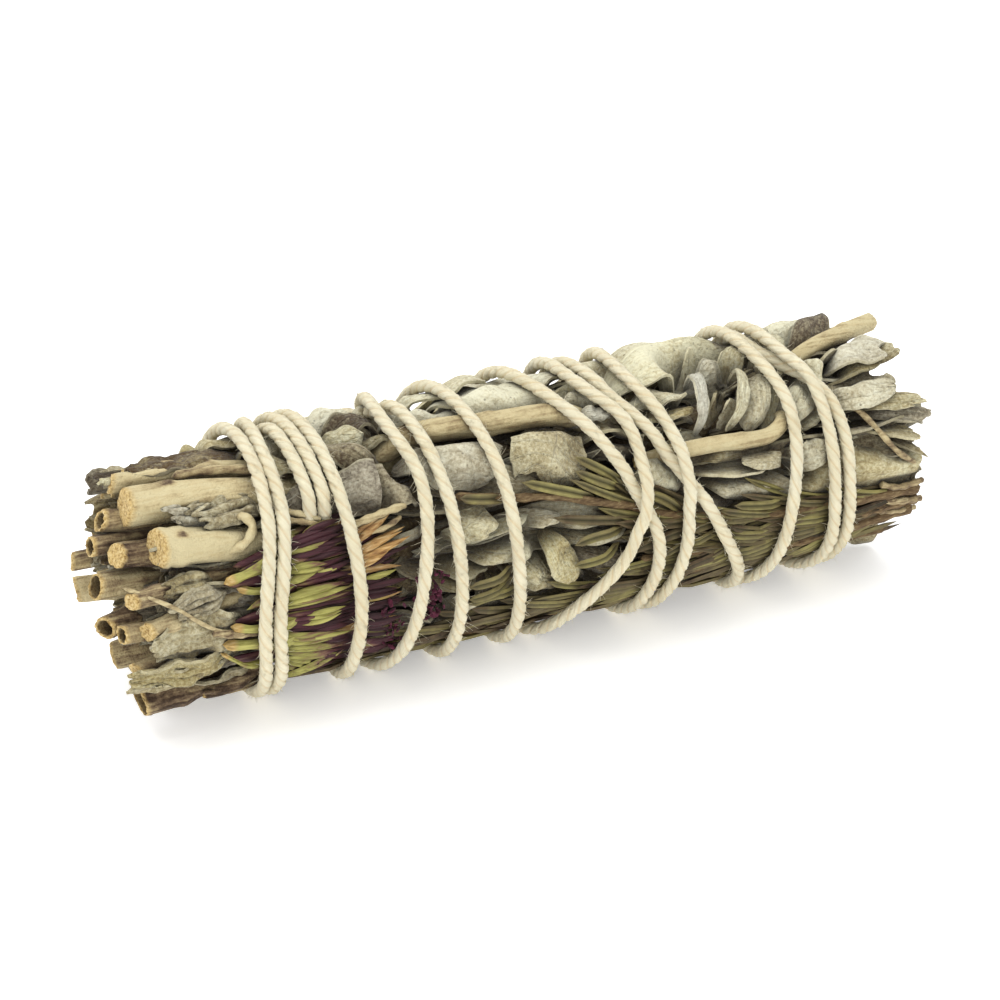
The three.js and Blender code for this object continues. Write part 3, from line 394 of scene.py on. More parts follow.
def twine_places():
    """The twine's route as x, angle and height over the leaves, about 1 mm apart."""
    passes = PASSES_OUT + PASSES_BACK
    knots = [(-21, 160), (-28, 159), (-32, 148), (-32.3, 125)]
    for turn, row in enumerate(passes):
        knots += [(x, angle - 360 * turn) for x, angle in zip(row, PASS_ANGLES)]
        if turn + 1 < len(passes):
            onto = passes[turn + 1][0]
            knots.append((mix(row[3], onto, 0.2), -110 - 360 * turn))
            knots.append((mix(row[3], onto, 0.75), -200 - 360 * turn))
    end = -360 * (len(passes) - 1)
    knots += [(-38, end - 90), (-37.4, end - 135), (-34.5, end - 164), (-28, end - 170), (-21, end - 171)]
    line = smooth_line([(x, math.radians(angle) * MIDDLE_RADIUS) for x, angle in knots], 24)
    length = np.linalg.norm(np.diff(line, axis=0), axis=1).sum()
    line = evenly(line, round(length) + 1)
    x, angle = line[:, 0], np.degrees(line[:, 1] / MIDDLE_RADIUS)
    outwards = angle > PASS_ANGLES[3] - 360 * (len(PASSES_OUT) - 1) - 100
    across = (angle[:, None] - angle[None] + 180) % 360 - 180
    apart = np.hypot(x[:, None] - x[None], np.radians(across) * MIDDLE_RADIUS)
    order = np.arange(len(x))
    other = (outwards[:, None] != outwards[None]) & (abs(order[:, None] - order[None]) > 40)
    near = np.where(other, apart, 1e3).min(1)
    crossing = 1.9 * (1 - ease(near, 0.9, 2.7))
    aside = abs((angle - 20 + 180) % 360 - 180)
    sunk = mix(0.5, 1, ease(aside, 35, 55))
    turn = np.floor((270 - angle) / 360)
    front = angle + 360 * turn
    under = np.where(turn < 2, ease(front, -102, -82) * (1 - ease(front, 31, 53)), 0)
    height = np.where(outwards, 1.0 - np.maximum(4.4 * under, crossing * sunk), 1.0 + crossing * (1 - sunk))
    from_end = np.minimum(order, len(x) - 1 - order)
    return x, angle, np.where(from_end < 19, mix(-0.95, 1.0, ease(from_end, 11, 19)), height)


class Lie:
    """How high a leaf may stand at each place: low under twine, rosemary and flower heads."""
    CELL_LENGTH = 0.5
    CELL_ANGLE = 1.5

    def __init__(self):
        self.x = np.arange(-62, 62.1, self.CELL_LENGTH)
        self.angle = np.arange(0, 360, self.CELL_ANGLE)
        self.spots = np.meshgrid(self.x, self.angle, indexing="ij")
        self.ceiling = np.full(self.spots[0].shape, HIGHEST_LEAF)
        x, angle, height = twine_places()
        shows = height > -0.5
        self.press(x[shows], angle[shows], height[shows] - 0.9, 0.9, 3.2)
        self.wrap = self.ceiling.copy()
        for sprig in ROSEMARY:
            x, angle, _ = path_over(sprig["path"], 90)
            self.press(x, angle, x * 0 - 1.7, sprig["reach"] - 0.6, sprig["reach"] + 1.6)
            for x0, angle0, x1, angle1 in sprig["placed"]:
                share = np.linspace(0, 1, 16)
                self.press(mix(x0, x1, share), mix(angle0, angle1, share), share * 0 - 0.8, 0.7, 2.0)
        for flower in FLOWERS:
            x, angle, _ = path_over(flower["path"], 50)
            self.press(x, angle, x * 0 - 2.2, flower["width"] / 2 + 0.6, flower["width"] / 2 + 2.6)
        for _, diameter, _, path, _ in STALKS:
            knots = np.array([knot for knot in path if knot[2] > 12.5])
            arc = np.radians(knots[:, 1]) * MIDDLE_RADIUS
            line = smooth_line(np.stack([knots[:, 0], arc, knots[:, 2]], -1))
            low = line[:, 2] - surface_radius(line[:, 0]) - diameter / 2 + 0.3
            near = diameter * 0.42
            self.press(line[:, 0], np.degrees(line[:, 1] / MIDDLE_RADIUS), low, near, near + 1.6)

    def press(self, x, angle, low, near, far):
        """Lowers the ceiling along a line, fully out to near and not at all from far."""
        tree = kdtree.KDTree(len(x))
        for i, point in enumerate(around(x, angle, MIDDLE_RADIUS)):
            tree.insert(point, i)
        tree.balance()
        found = [tree.find(spot)[1:] for spot in around(*self.spots, MIDDLE_RADIUS).reshape(-1, 3)]
        index = np.array([one[0] for one in found]).reshape(self.ceiling.shape)
        away = np.array([one[1] for one in found]).reshape(self.ceiling.shape)
        self.ceiling = np.minimum(self.ceiling, mix(low[index], HIGHEST_LEAF, ease(away, near, far)))

    def at(self, x, angle, heights=None):
        """The ceiling at these places, or another map of heights."""
        heights = self.ceiling if heights is None else heights
        i = np.clip((x - self.x[0]) / self.CELL_LENGTH, 0, len(self.x) - 1.001)
        j = (angle % 360) / self.CELL_ANGLE
        i0 = i.astype(int)
        j0 = j.astype(int) % len(self.angle)
        j1 = (j0 + 1) % len(self.angle)
        near = mix(heights[i0, j0], heights[i0 + 1, j0], i - i0)
        far = mix(heights[i0, j1], heights[i0 + 1, j1], i - i0)
        return mix(near, far, j - np.floor(j))

    def room(self, x, angle):
        """The lowest ceiling within about a millimetre."""
        shifts = ((0, 0), (1.1, 0), (-1.1, 0), (0, 4), (0, -4), (0.8, 3), (0.8, -3), (-0.8, 3), (-0.8, -3))
        return np.min([self.at(x + dx, angle + turn) for dx, turn in shifts], 0)

    def lay(self, x, angle, height):
        """Lowers the ceiling to the underside of a leaf laid at these places."""
        i = np.rint((x - self.x[0]) / self.CELL_LENGTH).astype(int)
        j = np.rint((angle % 360) / self.CELL_ANGLE).astype(int)
        for di in (-1, 0, 1):
            for dj in (-1, 0, 1):
                at = (np.clip(i + di, 0, len(self.x) - 1), (j + dj) % len(self.angle))
                np.minimum.at(self.ceiling, at, height)


LIE = Lie()


class Blank:
    """A start shape whose copies are shaped one by one: its points, faces and UV map. Its faces and their
    first corners are put in one order, because a new primitive's can differ from run to run."""

    def __init__(self, made):
        mesh = made.data
        self.points = np.zeros(len(mesh.vertices) * 3)
        mesh.vertices.foreach_get("co", self.points)
        self.points = self.points.reshape(-1, 3)
        places = mesh.uv_layers[0].data
        faces = []
        for face in mesh.polygons:
            corners = [(mesh.loops[i].vertex_index, *places[i].uv) for i in face.loop_indices]
            first = corners.index(min(corners))
            faces.append(corners[first:] + corners[:first])
        faces.sort()
        corners = np.array([corner for face in faces for corner in face])
        self.corners = corners[:, 0].astype(np.int32)
        self.uv = corners[:, 1:].ravel()
        ends = np.cumsum([len(face) for face in faces])
        self.starts = np.concatenate([[0], ends[:-1]]).astype(np.int32)
        bpy.data.objects.remove(made)
        bpy.data.meshes.remove(mesh)


class Sheet(Blank):
    """A flat sheet, for leaves: rows along it and columns across it."""

    def __init__(self, along, across):
        bpy.ops.object.select_all(action="DESELECT")
        bpy.ops.mesh.primitive_grid_add(x_subdivisions=along, y_subdivisions=across, size=1)
        super().__init__(bpy.context.object)
        self.along, self.across = along, across
        self.row = np.rint((self.points[:, 0] + 0.5) * along).astype(int)
        self.column = np.rint((self.points[:, 1] + 0.5) * across).astype(int)

    def lay(self, grid):
        return grid[self.row, self.column]


class Rod(Blank):
    """A closed ball of rings, for stems, needles, bracts and twine."""

    def __init__(self, sides, rings):
        bpy.ops.object.select_all(action="DESELECT")
        bpy.ops.mesh.primitive_uv_sphere_add(segments=sides, ring_count=rings, radius=1)
        super().__init__(bpy.context.object)
        x, y, z = self.points.T
        self.rings = rings
        self.ring = np.rint(np.arctan2(np.hypot(x, y), z) / math.pi * rings).astype(int)
        self.turn = np.arctan2(y, x)


def mesh_of(name, blank, shapes):
    """One mesh of copies of the blank; each shape is its points in mm and its attributes."""
    count, size = len(shapes), len(blank.points)
    mesh = bpy.data.meshes.new(name)
    mesh.vertices.add(count * size)
    mesh.loops.add(count * len(blank.corners))
    mesh.polygons.add(count * len(blank.starts))
    shift = np.arange(count)[:, None]
    mesh.vertices.foreach_set("co", np.concatenate([points for points, _ in shapes]).ravel() * MM)
    mesh.loops.foreach_set("vertex_index", (blank.corners[None] + shift * size).ravel().astype(np.int32))
    starts = blank.starts[None] + shift * len(blank.corners)
    mesh.polygons.foreach_set("loop_start", starts.ravel().astype(np.int32))
    mesh.uv_layers.new(name="UVMap").data.foreach_set("uv", np.tile(blank.uv, count))
    for key in shapes[0][1]:
        values = [np.broadcast_to(np.asarray(extra[key], float), size) for _, extra in shapes]
        mesh.attributes.new(key, "FLOAT", "POINT").data.foreach_set("value", np.concatenate(values))
    mesh.update(calc_edges=True)
    mesh.validate()
    return mesh


def put(name, blank, shapes, material):
    made = bpy.data.objects.new(name, mesh_of(name, blank, shapes))
    bpy.context.scene.collection.objects.link(made)
    made.data.materials.append(material)
    return made


def only(*chosen):
    """Selects these objects and nothing else; the first one is active."""
    bpy.ops.object.select_all(action="DESELECT")
    for one in chosen:
        one.select_set(True)
    bpy.context.view_layer.objects.active = chosen[0]


def joined(name, parts, crease=60):
    only(*parts)
    if len(parts) > 1:
        bpy.ops.object.join()
    bpy.ops.object.shade_smooth_by_angle(angle=math.radians(crease))
    parts[0].name = name
    parts[0].data.name = name
    return parts[0]


def apply_modifier(made, kind, **settings):
    only(made)
    modifier = made.modifiers.new(kind.title(), kind)
    for key, value in settings.items():
        setattr(modifier, key, value)
    bpy.ops.object.modifier_apply(modifier=modifier.name)


def crumple(along, across, rng, size):
    """Soft dents and sharper creases, about -1 to 1, with the given spacing in mm."""
    total = np.zeros(np.broadcast_shapes(along.shape, across.shape))
    for i in range(8):
        turn, phase = rng.uniform(0, math.pi), rng.uniform(0, 2 * math.pi)
        pitch = size * rng.uniform(0.6, 2.2)
        wave = np.sin(2 * math.pi * (along * math.cos(turn) + across * math.sin(turn)) / pitch + phase)
        total += (1 - 2 * np.abs(wave) if i % 2 else wave) * pitch / size
    return total / 8


LEAF = {
    "turn": 0, "root": -4.6, "high": -0.3, "tip": -0.7, "rise": 0.3, "roll": 0.8, "skew": 0.0, "tilt": 0.0,
    "twist": 0.0, "wave": 0.3, "waves": 2.5, "crumple": 0.36, "tone": 0.4, "veins": 0.35, "edge": 0.15,
    "fold": None, "ragged": 0.04, "flat": False, "sharp": 0.85, "kept": 1.0, "jag": 0.0, "pleat": 0.25,
    "pleats": 3.0, "float": 2.0, "shade": 0.8, "full": 0.8,
}


def waves_of(rng, place, rates):
    """A sum of sines with chance phases, the faster ones weaker."""
    return sum(np.sin(rate * place + rng.uniform(0, 6.3)) / rate ** 0.7 for rate in rates)


def smoothed(heights, times):
    """Heights evened out with their neighbours."""
    heights = heights.copy()
    for _ in range(times):
        heights[1:-1] = (heights[:-2] + 2 * heights[1:-1] + heights[2:]) / 4
        heights[:, 1:-1] = (heights[:, :-2] + 2 * heights[:, 1:-1] + heights[:, 2:]) / 4
    return heights


def leaf_shape(sheet, rng, **given):
    """A leaf bent, rolled and creased, its middle line over the bunch as in a plane unrolled from it."""
    leaf = {**LEAF, **given}
    s = np.linspace(0, 1, sheet.along + 1)[:, None]
    a = np.linspace(-1, 1, sheet.across + 1)[None]
    outline = np.sin(math.pi * (s * leaf["kept"]) ** leaf["sharp"]).clip(0) ** leaf["full"] * 0.97 + 0.03
    half = leaf["width"] / 2 * outline * (1 + leaf["ragged"] * 2 * waves_of(rng, s, (13, 20, 31, 50, 82)))
    roll = leaf["roll"] * (0.75 + 0.45 * np.sin(2 * math.pi * (0.7 * s + rng.uniform())))
    lean = -roll * (a + leaf["skew"])
    lean = lean - leaf["edge"] * np.sign(leaf["roll"]) * np.sign(a) * ease(abs(a), 0.72, 1.0)
    if leaf["fold"] is not None:
        side = np.sign(leaf["fold"])
        lean = lean + side * 2.75 * ease(side * a, abs(leaf["fold"]) - 0.1, abs(leaf["fold"]) + 0.1)
    lean = lean + np.radians(leaf["tilt"] + leaf["twist"] * (s - 0.5))
    across = np.cumsum(np.cos(lean), 1) * 2 / sheet.across
    lift = np.cumsum(np.sin(lean), 1) * 2 / sheet.across
    middle = sheet.across // 2
    across = (across - across[:, middle:middle + 1]) * half
    lift = (lift - lift[:, middle:middle + 1]) * half
    flutter = 2 * math.pi * leaf["waves"] * s + np.sign(a) * rng.uniform(0.5, 2.5) + rng.uniform(0, 6.3)
    lift = lift + leaf["wave"] * abs(a) ** 1.5 * outline * np.sin(flutter)
    lift = lift - 0.045 * leaf["width"] * np.exp(-(a / 0.13) ** 2) * outline
    on_leaf = (s * leaf["length"], a * leaf["width"] / 2)
    lift = lift + leaf["crumple"] * crumple(*on_leaf, rng, 5.0) * outline ** 0.3
    lift = lift + 0.5 * leaf["crumple"] * crumple(*on_leaf, rng, 1.8)
    pleat = math.pi * leaf["pleats"] * a * (0.8 + 0.3 * s) + rng.uniform(0, 6.3)
    pleat = np.sin(pleat + 0.8 * np.sin(3 * s + rng.uniform(0, 6)))
    pleat = 1 - 2 * abs(pleat) if rng.uniform() < 0.5 else pleat
    lift = lift + leaf["pleat"] * outline * (0.4 + 0.6 * np.sin(math.pi * s)) * pleat
    stand = mix(leaf["root"], leaf["high"], ease(s, 0, leaf["rise"]))
    stand = stand + (leaf["tip"] - leaf["high"]) * ease(s, 0.6, 1)
    bend = np.radians(leaf["turn"]) * s
    torn = leaf["jag"] * ease(s, 0.7, 1) * waves_of(rng, a, (2, 5, 8, 11)) * 1.6
    reach = leaf["length"] * s * np.sinc(bend / 2 / math.pi) + torn
    start = math.radians(leaf["heading"])
    x = leaf["x"] + reach * np.cos(start + bend / 2) - across * np.sin(start + bend)
    arc = reach * np.sin(start + bend / 2) + across * np.cos(start + bend)
    if leaf["flat"]:
        at = math.radians(leaf["angle"])
        out = np.minimum(leaf["radius"] + stand + lift, surface_radius(x) + 0.4)
        y = -(out * math.cos(at) - arc * math.sin(at))
        z = AXIS_HEIGHT + out * math.sin(at) + arc * math.cos(at)
        grid = np.stack(np.broadcast_arrays(x, y, z), -1)
        # flat leaves take their set shade value, a painted shade that the leaf material darkens
        shade = np.full(grid.shape[:2], leaf["shade"])
    else:
        angle = leaf["angle"] + np.degrees(arc / MIDDLE_RADIUS)
        height = stand + lift
        room = LIE.room(x, angle)
        body = (s > 0.3) & (s < 0.92) & (abs(a) < 0.6)
        drape = smoothed(room, 6)
        height = height + 0.75 * (drape - drape[body].mean()) * ease(s, 0, 0.35)
        rise = np.percentile((room - height)[body], 30)
        height = height + np.clip(rise, -1.5, leaf["float"]) * ease(s, 0, 0.35)
        below = room - height
        height = height + np.minimum(below, 0) - 0.2 * np.exp(-np.abs(below) / 0.3)
        height = np.minimum(smoothed(height, 2), LIE.at(x, angle))
        LIE.lay(x, angle, height - 0.45)
        grid = over(x, angle, height)
        # painted shade: the deeper a leaf lies under the others, the darker the leaf material paints it
        shade = ease(height, -3.4, 0.0)
    points = sheet.lay(grid)
    points[:, 2] = np.maximum(points[:, 2], LOWEST_LEAF)
    return points, {"tone": leaf["tone"], "veins": leaf["veins"], "shade": sheet.lay(shade)}


def directions(line, nudge=0.0):
    """Ahead, up and sideways at each point of a line. Up is away from the bunch's axis, and the nudge
    settles it for a line on the axis."""
    step = np.gradient(line, axis=0)
    ahead = step / np.linalg.norm(step, axis=1)[:, None]
    out = (line - np.array([0, 0, AXIS_HEIGHT])) * np.array([0, 1, 1]) + np.array([0, 0, nudge])
    up = out - (out * ahead).sum(1)[:, None] * ahead
    up /= np.linalg.norm(up, axis=1)[:, None]
    return ahead, up, np.cross(ahead, up)


def rod_shape(rod, line, radius, section=None, ends=None):
    """A rod along a line of one point per ring, its radius per ring and point round it.
    ends gives rings that are drawn to other places along the line."""
    ahead, up, side = directions(line, ON_AXIS)
    ring, turn = rod.ring, rod.turn
    wide, tall = section(turn, ring) if section else (np.cos(turn), np.sin(turn))
    reach = np.asarray(radius)[ring]
    points = line[ring] + (side[ring] * wide[:, None] + up[ring] * tall[:, None]) * reach[:, None]
    if ends is not None:
        points = points + ahead[ring] * np.asarray(ends)[ring][:, None]
    return points


def between(x0, angle0, x1, angle1, turn=0, radius=MIDDLE_RADIUS):
    """Where a leaf starts, its heading and its length, to run from one place to another with a turn;
    both ends go on a little under what covers them."""
    run = x1 - x0
    climb = math.radians(angle1 - angle0) * radius
    half = math.radians(turn) / 2
    length = 1.16 * math.hypot(run, climb) * (half / math.sin(half) if turn else 1)
    heading = math.degrees(math.atan2(climb, run) - half)
    start = {"x": x0 - 0.12 * run, "angle": angle0 - 0.12 * (angle1 - angle0)}
    return {**start, "heading": heading, "turn": turn, "length": length}


def sprig_at(angle):
    """The outer sprig at an angle round the bunch."""
    return int((angle - FIRST_SPRIG_ANGLE + SPRIG_SPACING / 2) % 360 // SPRIG_SPACING) + 1


def sprig_middle(number):
    """The angle of a sprig's middle."""
    if number > OUTER_SPRIGS:
        return INNER_SPRIG_ANGLES[number - OUTER_SPRIGS - 1]
    return FIRST_SPRIG_ANGLE + SPRIG_SPACING * (number - 1)


def leaf_sets(rng):
    """Every sage leaf as (sprig, fineness, settings), in the order they are laid from the outside in."""
    chance = rng.uniform
    first, mixed, last = [], [], []
    for x0, angle0, x1, angle1, turn, width, roll, tone, extra in SHOWN_LEAVES:
        first.append((sprig_at((angle0 + angle1) / 2), 3 if width > 5 else 2, {
            **between(x0, angle0, x1, angle1, turn), "width": width, "roll": roll * 0.6, "tone": tone,
            "high": 0.2, "tip": 0.4, "rise": 0.2, "root": -3.5, "pleat": 0.22, "crumple": 0.5,
            "sharp": 0.95, "twist": chance(-30, 30), "wave": 0.5, "waves": chance(1.5, 3.5), "ragged": 0.07,
            "skew": chance(-0.5, 0.5), "edge": rng.choice([-0.6, 0.3]), "full": 0.5, **extra,
        }))
    for x0, angle0, x1, angle1, radius, width, roll, tone, extra in END_LEAVES:
        first.append((sprig_at(angle0), 3, {
            **between(x0, angle0, x1, angle1, 0, radius), "flat": True, "radius": radius, "width": width,
            "roll": roll, "tone": tone + 0.06, "root": -1.5, "high": 0, "tip": 0.2, "kept": 0.85,
            "jag": 0.5, "shade": 0.78, "crumple": 0.5, **extra,
        }))
    for number in range(1, OUTER_SPRIGS + 1):
        middle = sprig_middle(number)
        for column, side in enumerate((-1, 1)):
            for i in range(6):
                x = -42 + 15.5 * (i + column * 0.5) + chance(0, 1.5)
                angle = middle + side * 10 + chance(-4, 4)
                room = chance(50, 55.5) - 5 * ease(math.sin(math.radians(angle)), 0.4, 1) - x
                length = min(chance(26, 34), room)
                if length < 9:
                    continue
                kind = chance()
                rolls = (0.6, 1.5) if kind < 0.45 else (-1.5, -0.6) if kind < 0.8 else (0.1, 0.5)
                cut_short = length == room
                mixed.append((number, 1, {
                    "x": x, "angle": angle, "heading": chance(-12, 3), "turn": chance(-12, 12),
                    "length": length, "width": chance(7.5, 10.5), "high": chance(-1.4, 0.2),
                    "tip": chance(-1.4, 0.4), "tilt": chance(-16, 16), "twist": chance(-35, 35),
                    "roll": chance(*rolls), "skew": chance(-0.5, 0.5), "wave": chance(0.1, 0.5),
                    "waves": chance(1.5, 4), "veins": chance(0.15, 0.6),
                    "fold": rng.choice([-1, 1]) * chance(0.15, 0.6) if chance() < 0.3 else None,
                    "tone": np.clip(rng.normal(0.4 - 0.002 * x, 0.2), 0.02, 0.9),
                    "kept": chance(0.66, 0.85) if cut_short else 1.0, "jag": 0.4 if cut_short else 0.1,
                    "pleat": chance(0.1, 0.4), "pleats": chance(1.5, 4),
                }))
        for _ in range(15):
            x = chance(-40, 38)
            room = chance(49, 55) - x
            length = min(chance(13, 26), room)
            mixed.append((number, 2, {
                "x": x, "angle": middle + chance(-20, 20), "heading": chance(-24, 14),
                "turn": chance(-25, 25), "length": length, "width": chance(3.2, 7), "root": -3,
                "high": chance(-1.0, 0.5), "tip": chance(-1.5, 0.5), "tilt": chance(-30, 30),
                "roll": chance(0.9, 2.0) * rng.choice([-1, 1]), "twist": chance(-60, 60),
                "tone": np.clip(rng.normal(0.45, 0.24), 0.02, 0.98), "veins": 0.3, "pleat": 0.15,
                "kept": 0.75 if length == room else 1.0,
            }))
        for side in (-1, 1):
            for i in range(5):
                x = -41 + 18 * i + chance(-2, 2)
                last.append((number, 0, {
                    "x": x, "angle": middle + side * 10 + chance(-2, 2), "heading": chance(-6, 6),
                    "length": min(34, 50 - x), "width": 13, "root": -5.5, "high": chance(-3.0, -2.0),
                    "tip": -3, "roll": chance(0.2, 0.7), "tone": chance(0.55, 0.95), "crumple": 0.5,
                    "wave": 0.6,
                }))
    for number in range(1, SPRIGS + 1):
        inner = number > OUTER_SPRIGS
        middle = sprig_middle(number)
        for _ in range(9 if inner else 7):
            x = chance(28, 33)
            last.append((number, 2, {
                "flat": True, "x": x, "angle": middle + chance(-55, 55) * (1 if inner else 0.36),
                "radius": chance(1.5, 6.5) if inner else chance(7.5, 13),
                "heading": chance(-5, 5), "length": chance(47, 54.5) - x, "width": chance(5, 8),
                "root": -1, "high": 0, "tip": chance(-0.5, 0.5), "tilt": chance(-40, 40),
                "roll": chance(0.8, 1.8) * rng.choice([-1, 1]), "twist": chance(-60, 60), "wave": 0.5,
                "tone": np.clip(rng.normal(0.45, 0.22), 0.05, 0.95), "shade": 0.7, "sharp": 1.1,
                "kept": chance(0.62, 0.9), "jag": 0.6,
            }))
        for _ in range(5):
            last.append((number, 2, {
                "flat": True, "x": chance(-38, -35), "angle": middle + chance(-20, 20),
                "radius": chance(1.5, 6) if inner else chance(7, 13),
                "heading": 180 + chance(-10, 10), "length": chance(9, 17),
                "width": chance(4, 7.5), "root": -1, "high": 0, "tip": 0.4, "kept": chance(0.6, 1),
                "roll": chance(0.8, 1.8) * rng.choice([-1, 1]), "tilt": chance(-50, 50),
                "twist": chance(-60, 60), "jag": 0.6, "shade": 0.45,
                "tone": np.clip(rng.normal(0.6, 0.22), 0.05, 0.98),
            }))
    rng.shuffle(mixed)
    return first + mixed + last


def stem_shape(rod, rng, diameter, hollow, tone, path, extra):
    """A cut stem: ridged bark, a ring of wood and a pith that is often hollow."""
    knots = [around(x, angle, radius) for x, angle, radius in path]
    rings = rod.rings
    line = evenly(smooth_line(knots), rings - 3)
    start = line[0]
    cut_end = start + (line[1] - start) * np.linspace(0, 0.02, 5)[:, None]
    line = np.vstack([cut_end, line[1:]])
    half = diameter / 2
    far = np.linalg.norm(line - start, axis=1)
    radius = half * (1 + extra.get("flare", 0.0) * np.exp(-far / 1.4))
    for node_at in (extra.get("scar", rng.uniform(3, 6)), rng.uniform(12, 17)):
        radius += half * 0.14 * np.exp(-((far - node_at) / 0.7) ** 2)
    bore = extra.get("bore", 0.68 if hollow else 0.5)
    radius[:5] = radius[5] * np.array([0, bore - 0.05, bore, (bore + 0.95) / 2, 0.95])
    radius[-1] = 0
    depth = np.zeros(rings + 1)
    depth[:5] = (3.2, 3.0, 0.25, 0.0, 0.05) if hollow else (0.1, 0.1, 0.05, 0.0, 0.08)
    slant = rng.uniform(0.15, 0.5)
    aslant = rng.uniform(-0.7, 0.7)
    phase = rng.uniform(0, 6.3)

    def section(turn, ring):
        bark = ring >= 4
        ridges = 0.06 * np.cos(4 * turn + phase) + 0.03 * np.cos(11 * turn + 0.2 * ring)
        square = 1 + np.where(bark, ridges, 0)
        torn = np.where((ring == 4) | (ring == 5), 0.04 * np.cos(7 * turn + 2 * phase), 0)
        return np.cos(turn) * (square + torn), np.sin(turn) * (square + torn)

    points = rod_shape(rod, line, radius, section, depth)
    ahead = (line[8] - line[5]) / np.linalg.norm(line[8] - line[5])
    tipped = np.where(rod.ring < 6, slant * np.sin(rod.turn + aslant) * radius[rod.ring], 0)
    points = points + tipped[:, None] * ahead
    rough = np.where((rod.ring > 1) & (rod.ring < 6), rng.normal(0, 0.06, len(rod.ring)), 0)
    points = points + rough[:, None] * ahead
    aside = abs((rod.turn - 2 + math.pi) % (2 * math.pi) - math.pi) * half
    scar = 0.9 * np.exp(-(((far[rod.ring] - extra.get("scar", -9)) / 0.7) ** 2 + (aside / 0.7) ** 2))
    # painted shade: the wall and bottom of a hollow stem's bore are marked for the dark hollow colour
    pith = np.interp(rod.ring, [1, 2, 3], [1, 0.75, 0]) * hollow
    return points, {"tone": tone + scar, "cut": (rod.ring < 5) * 1.0, "hollow": pith}


def core_shape(rod, rng, middle, low, high, half):
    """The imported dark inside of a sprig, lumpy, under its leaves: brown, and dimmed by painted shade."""
    ring, turn = rod.ring, rod.turn
    s = ring / rod.rings
    swell = np.sin(math.pi * np.clip(s, 0, 1)) ** 0.25
    u, v = np.cos(turn), np.sin(turn)
    u, v = np.sign(u) * abs(u) ** 0.6, np.sign(v) * abs(v) ** 0.6
    lump = 1 + 0.05 * np.sin(3 * turn + 14 * s + rng.uniform(0, 6)) + 0.04 * np.sin(5 * turn - 31 * s)
    radius = (low + high) / 2 + (high - low) / 2 * u * swell * lump
    angle = middle + half * v * swell * lump
    x = mix(-45, 49, s) + 1.2 * np.sin(4 * turn + 3)
    return around(x, angle, radius), {"tone": 0.92, "veins": 0.2, "shade": 0.25}


def fill(tree, made, inputs):
    """Fills a node's inputs, or links them. A node given for one stands for its first output in use."""
    for socket, value in inputs.items():
        if isinstance(value, bpy.types.Node):
            value = next(output for output in value.outputs if output.enabled)
        if isinstance(value, bpy.types.NodeSocket):
            tree.links.new(value, made.inputs[socket])
        else:
            made.inputs[socket].default_value = value


def node(tree, kind, inputs=None, **settings):
    """Adds a shader node, sets it and fills or links its inputs."""
    made = tree.nodes.new("ShaderNode" + kind)
    for key, value in settings.items():
        setattr(made, key, value)
    fill(tree, made, inputs or {})
    return made


def ramp(tree, value, *stops):
    """Colours by a value, as (place, colour) stops."""
    made = node(tree, "ValToRGB", {0: value})
    elements = made.color_ramp.elements
    while len(elements) < len(stops):
        elements.new(0.5)
    for element, (place, colour) in zip(elements, stops):
        element.position = place
        element.color = linear(colour) if isinstance(colour, str) else colour
    return made


def point_value(tree, name):
    """A value kept on the points of a piece."""
    return node(tree, "Attribute", attribute_name=name).outputs["Fac"]


def noise(tree, place, size, detail, roughness=0.5):
    """Noise in spots of a size in mm."""
    inputs = {"Vector": place, "Scale": 1 / (size * MM), "Detail": detail, "Roughness": roughness}
    return node(tree, "TexNoise", inputs)


def rescale(tree, value, low, high, first, last):
    """A value from low to high turned into one from first to last."""
    return node(tree, "MapRange", {0: value, 1: low, 2: high, 3: first, 4: last})


def calc(tree, operation, *values, use_clamp=False):
    """A sum of values, or the like."""
    return node(tree, "Math", dict(enumerate(values)), operation=operation, use_clamp=use_clamp)


def blend(tree, share, first, second):
    """A colour that turns from the first to the second with the share."""
    return node(tree, "Mix", {0: share, 6: first, 7: second}, data_type="RGBA")


def bump(tree, shader, height, strength, depth):
    """Relief on a shader, its depth in mm."""
    inputs = {"Height": height, "Strength": strength, "Distance": depth * MM}
    fill(tree, shader, {"Normal": node(tree, "Bump", inputs)})


def new_material(name, roughness, sheen=0.0, specular=0.3):
    """A material with its node tree, its shader and the place on the piece."""
    material = bpy.data.materials.new(name)
    material.use_nodes = True
    tree = material.node_tree
    shader = tree.nodes["Principled BSDF"]
    fill(tree, shader, {"Roughness": roughness, "Specular IOR Level": specular})
    fill(tree, shader, {"Sheen Weight": sheen, "Sheen Roughness": 0.5})
    return material, tree, shader, node(tree, "TexCoord").outputs["Object"]


def creased(tree, colour, reach, amount, dark):
    """Painted shade: colour darkened to a dark brown where neighbours lie closer than reach, in mm."""
    near = node(tree, "AmbientOcclusion", {"Distance": reach * MM}, samples=6)
    share = rescale(tree, near.outputs["AO"], 0.15, 0.8, amount, 0.0)
    return blend(tree, share, colour, linear(dark))


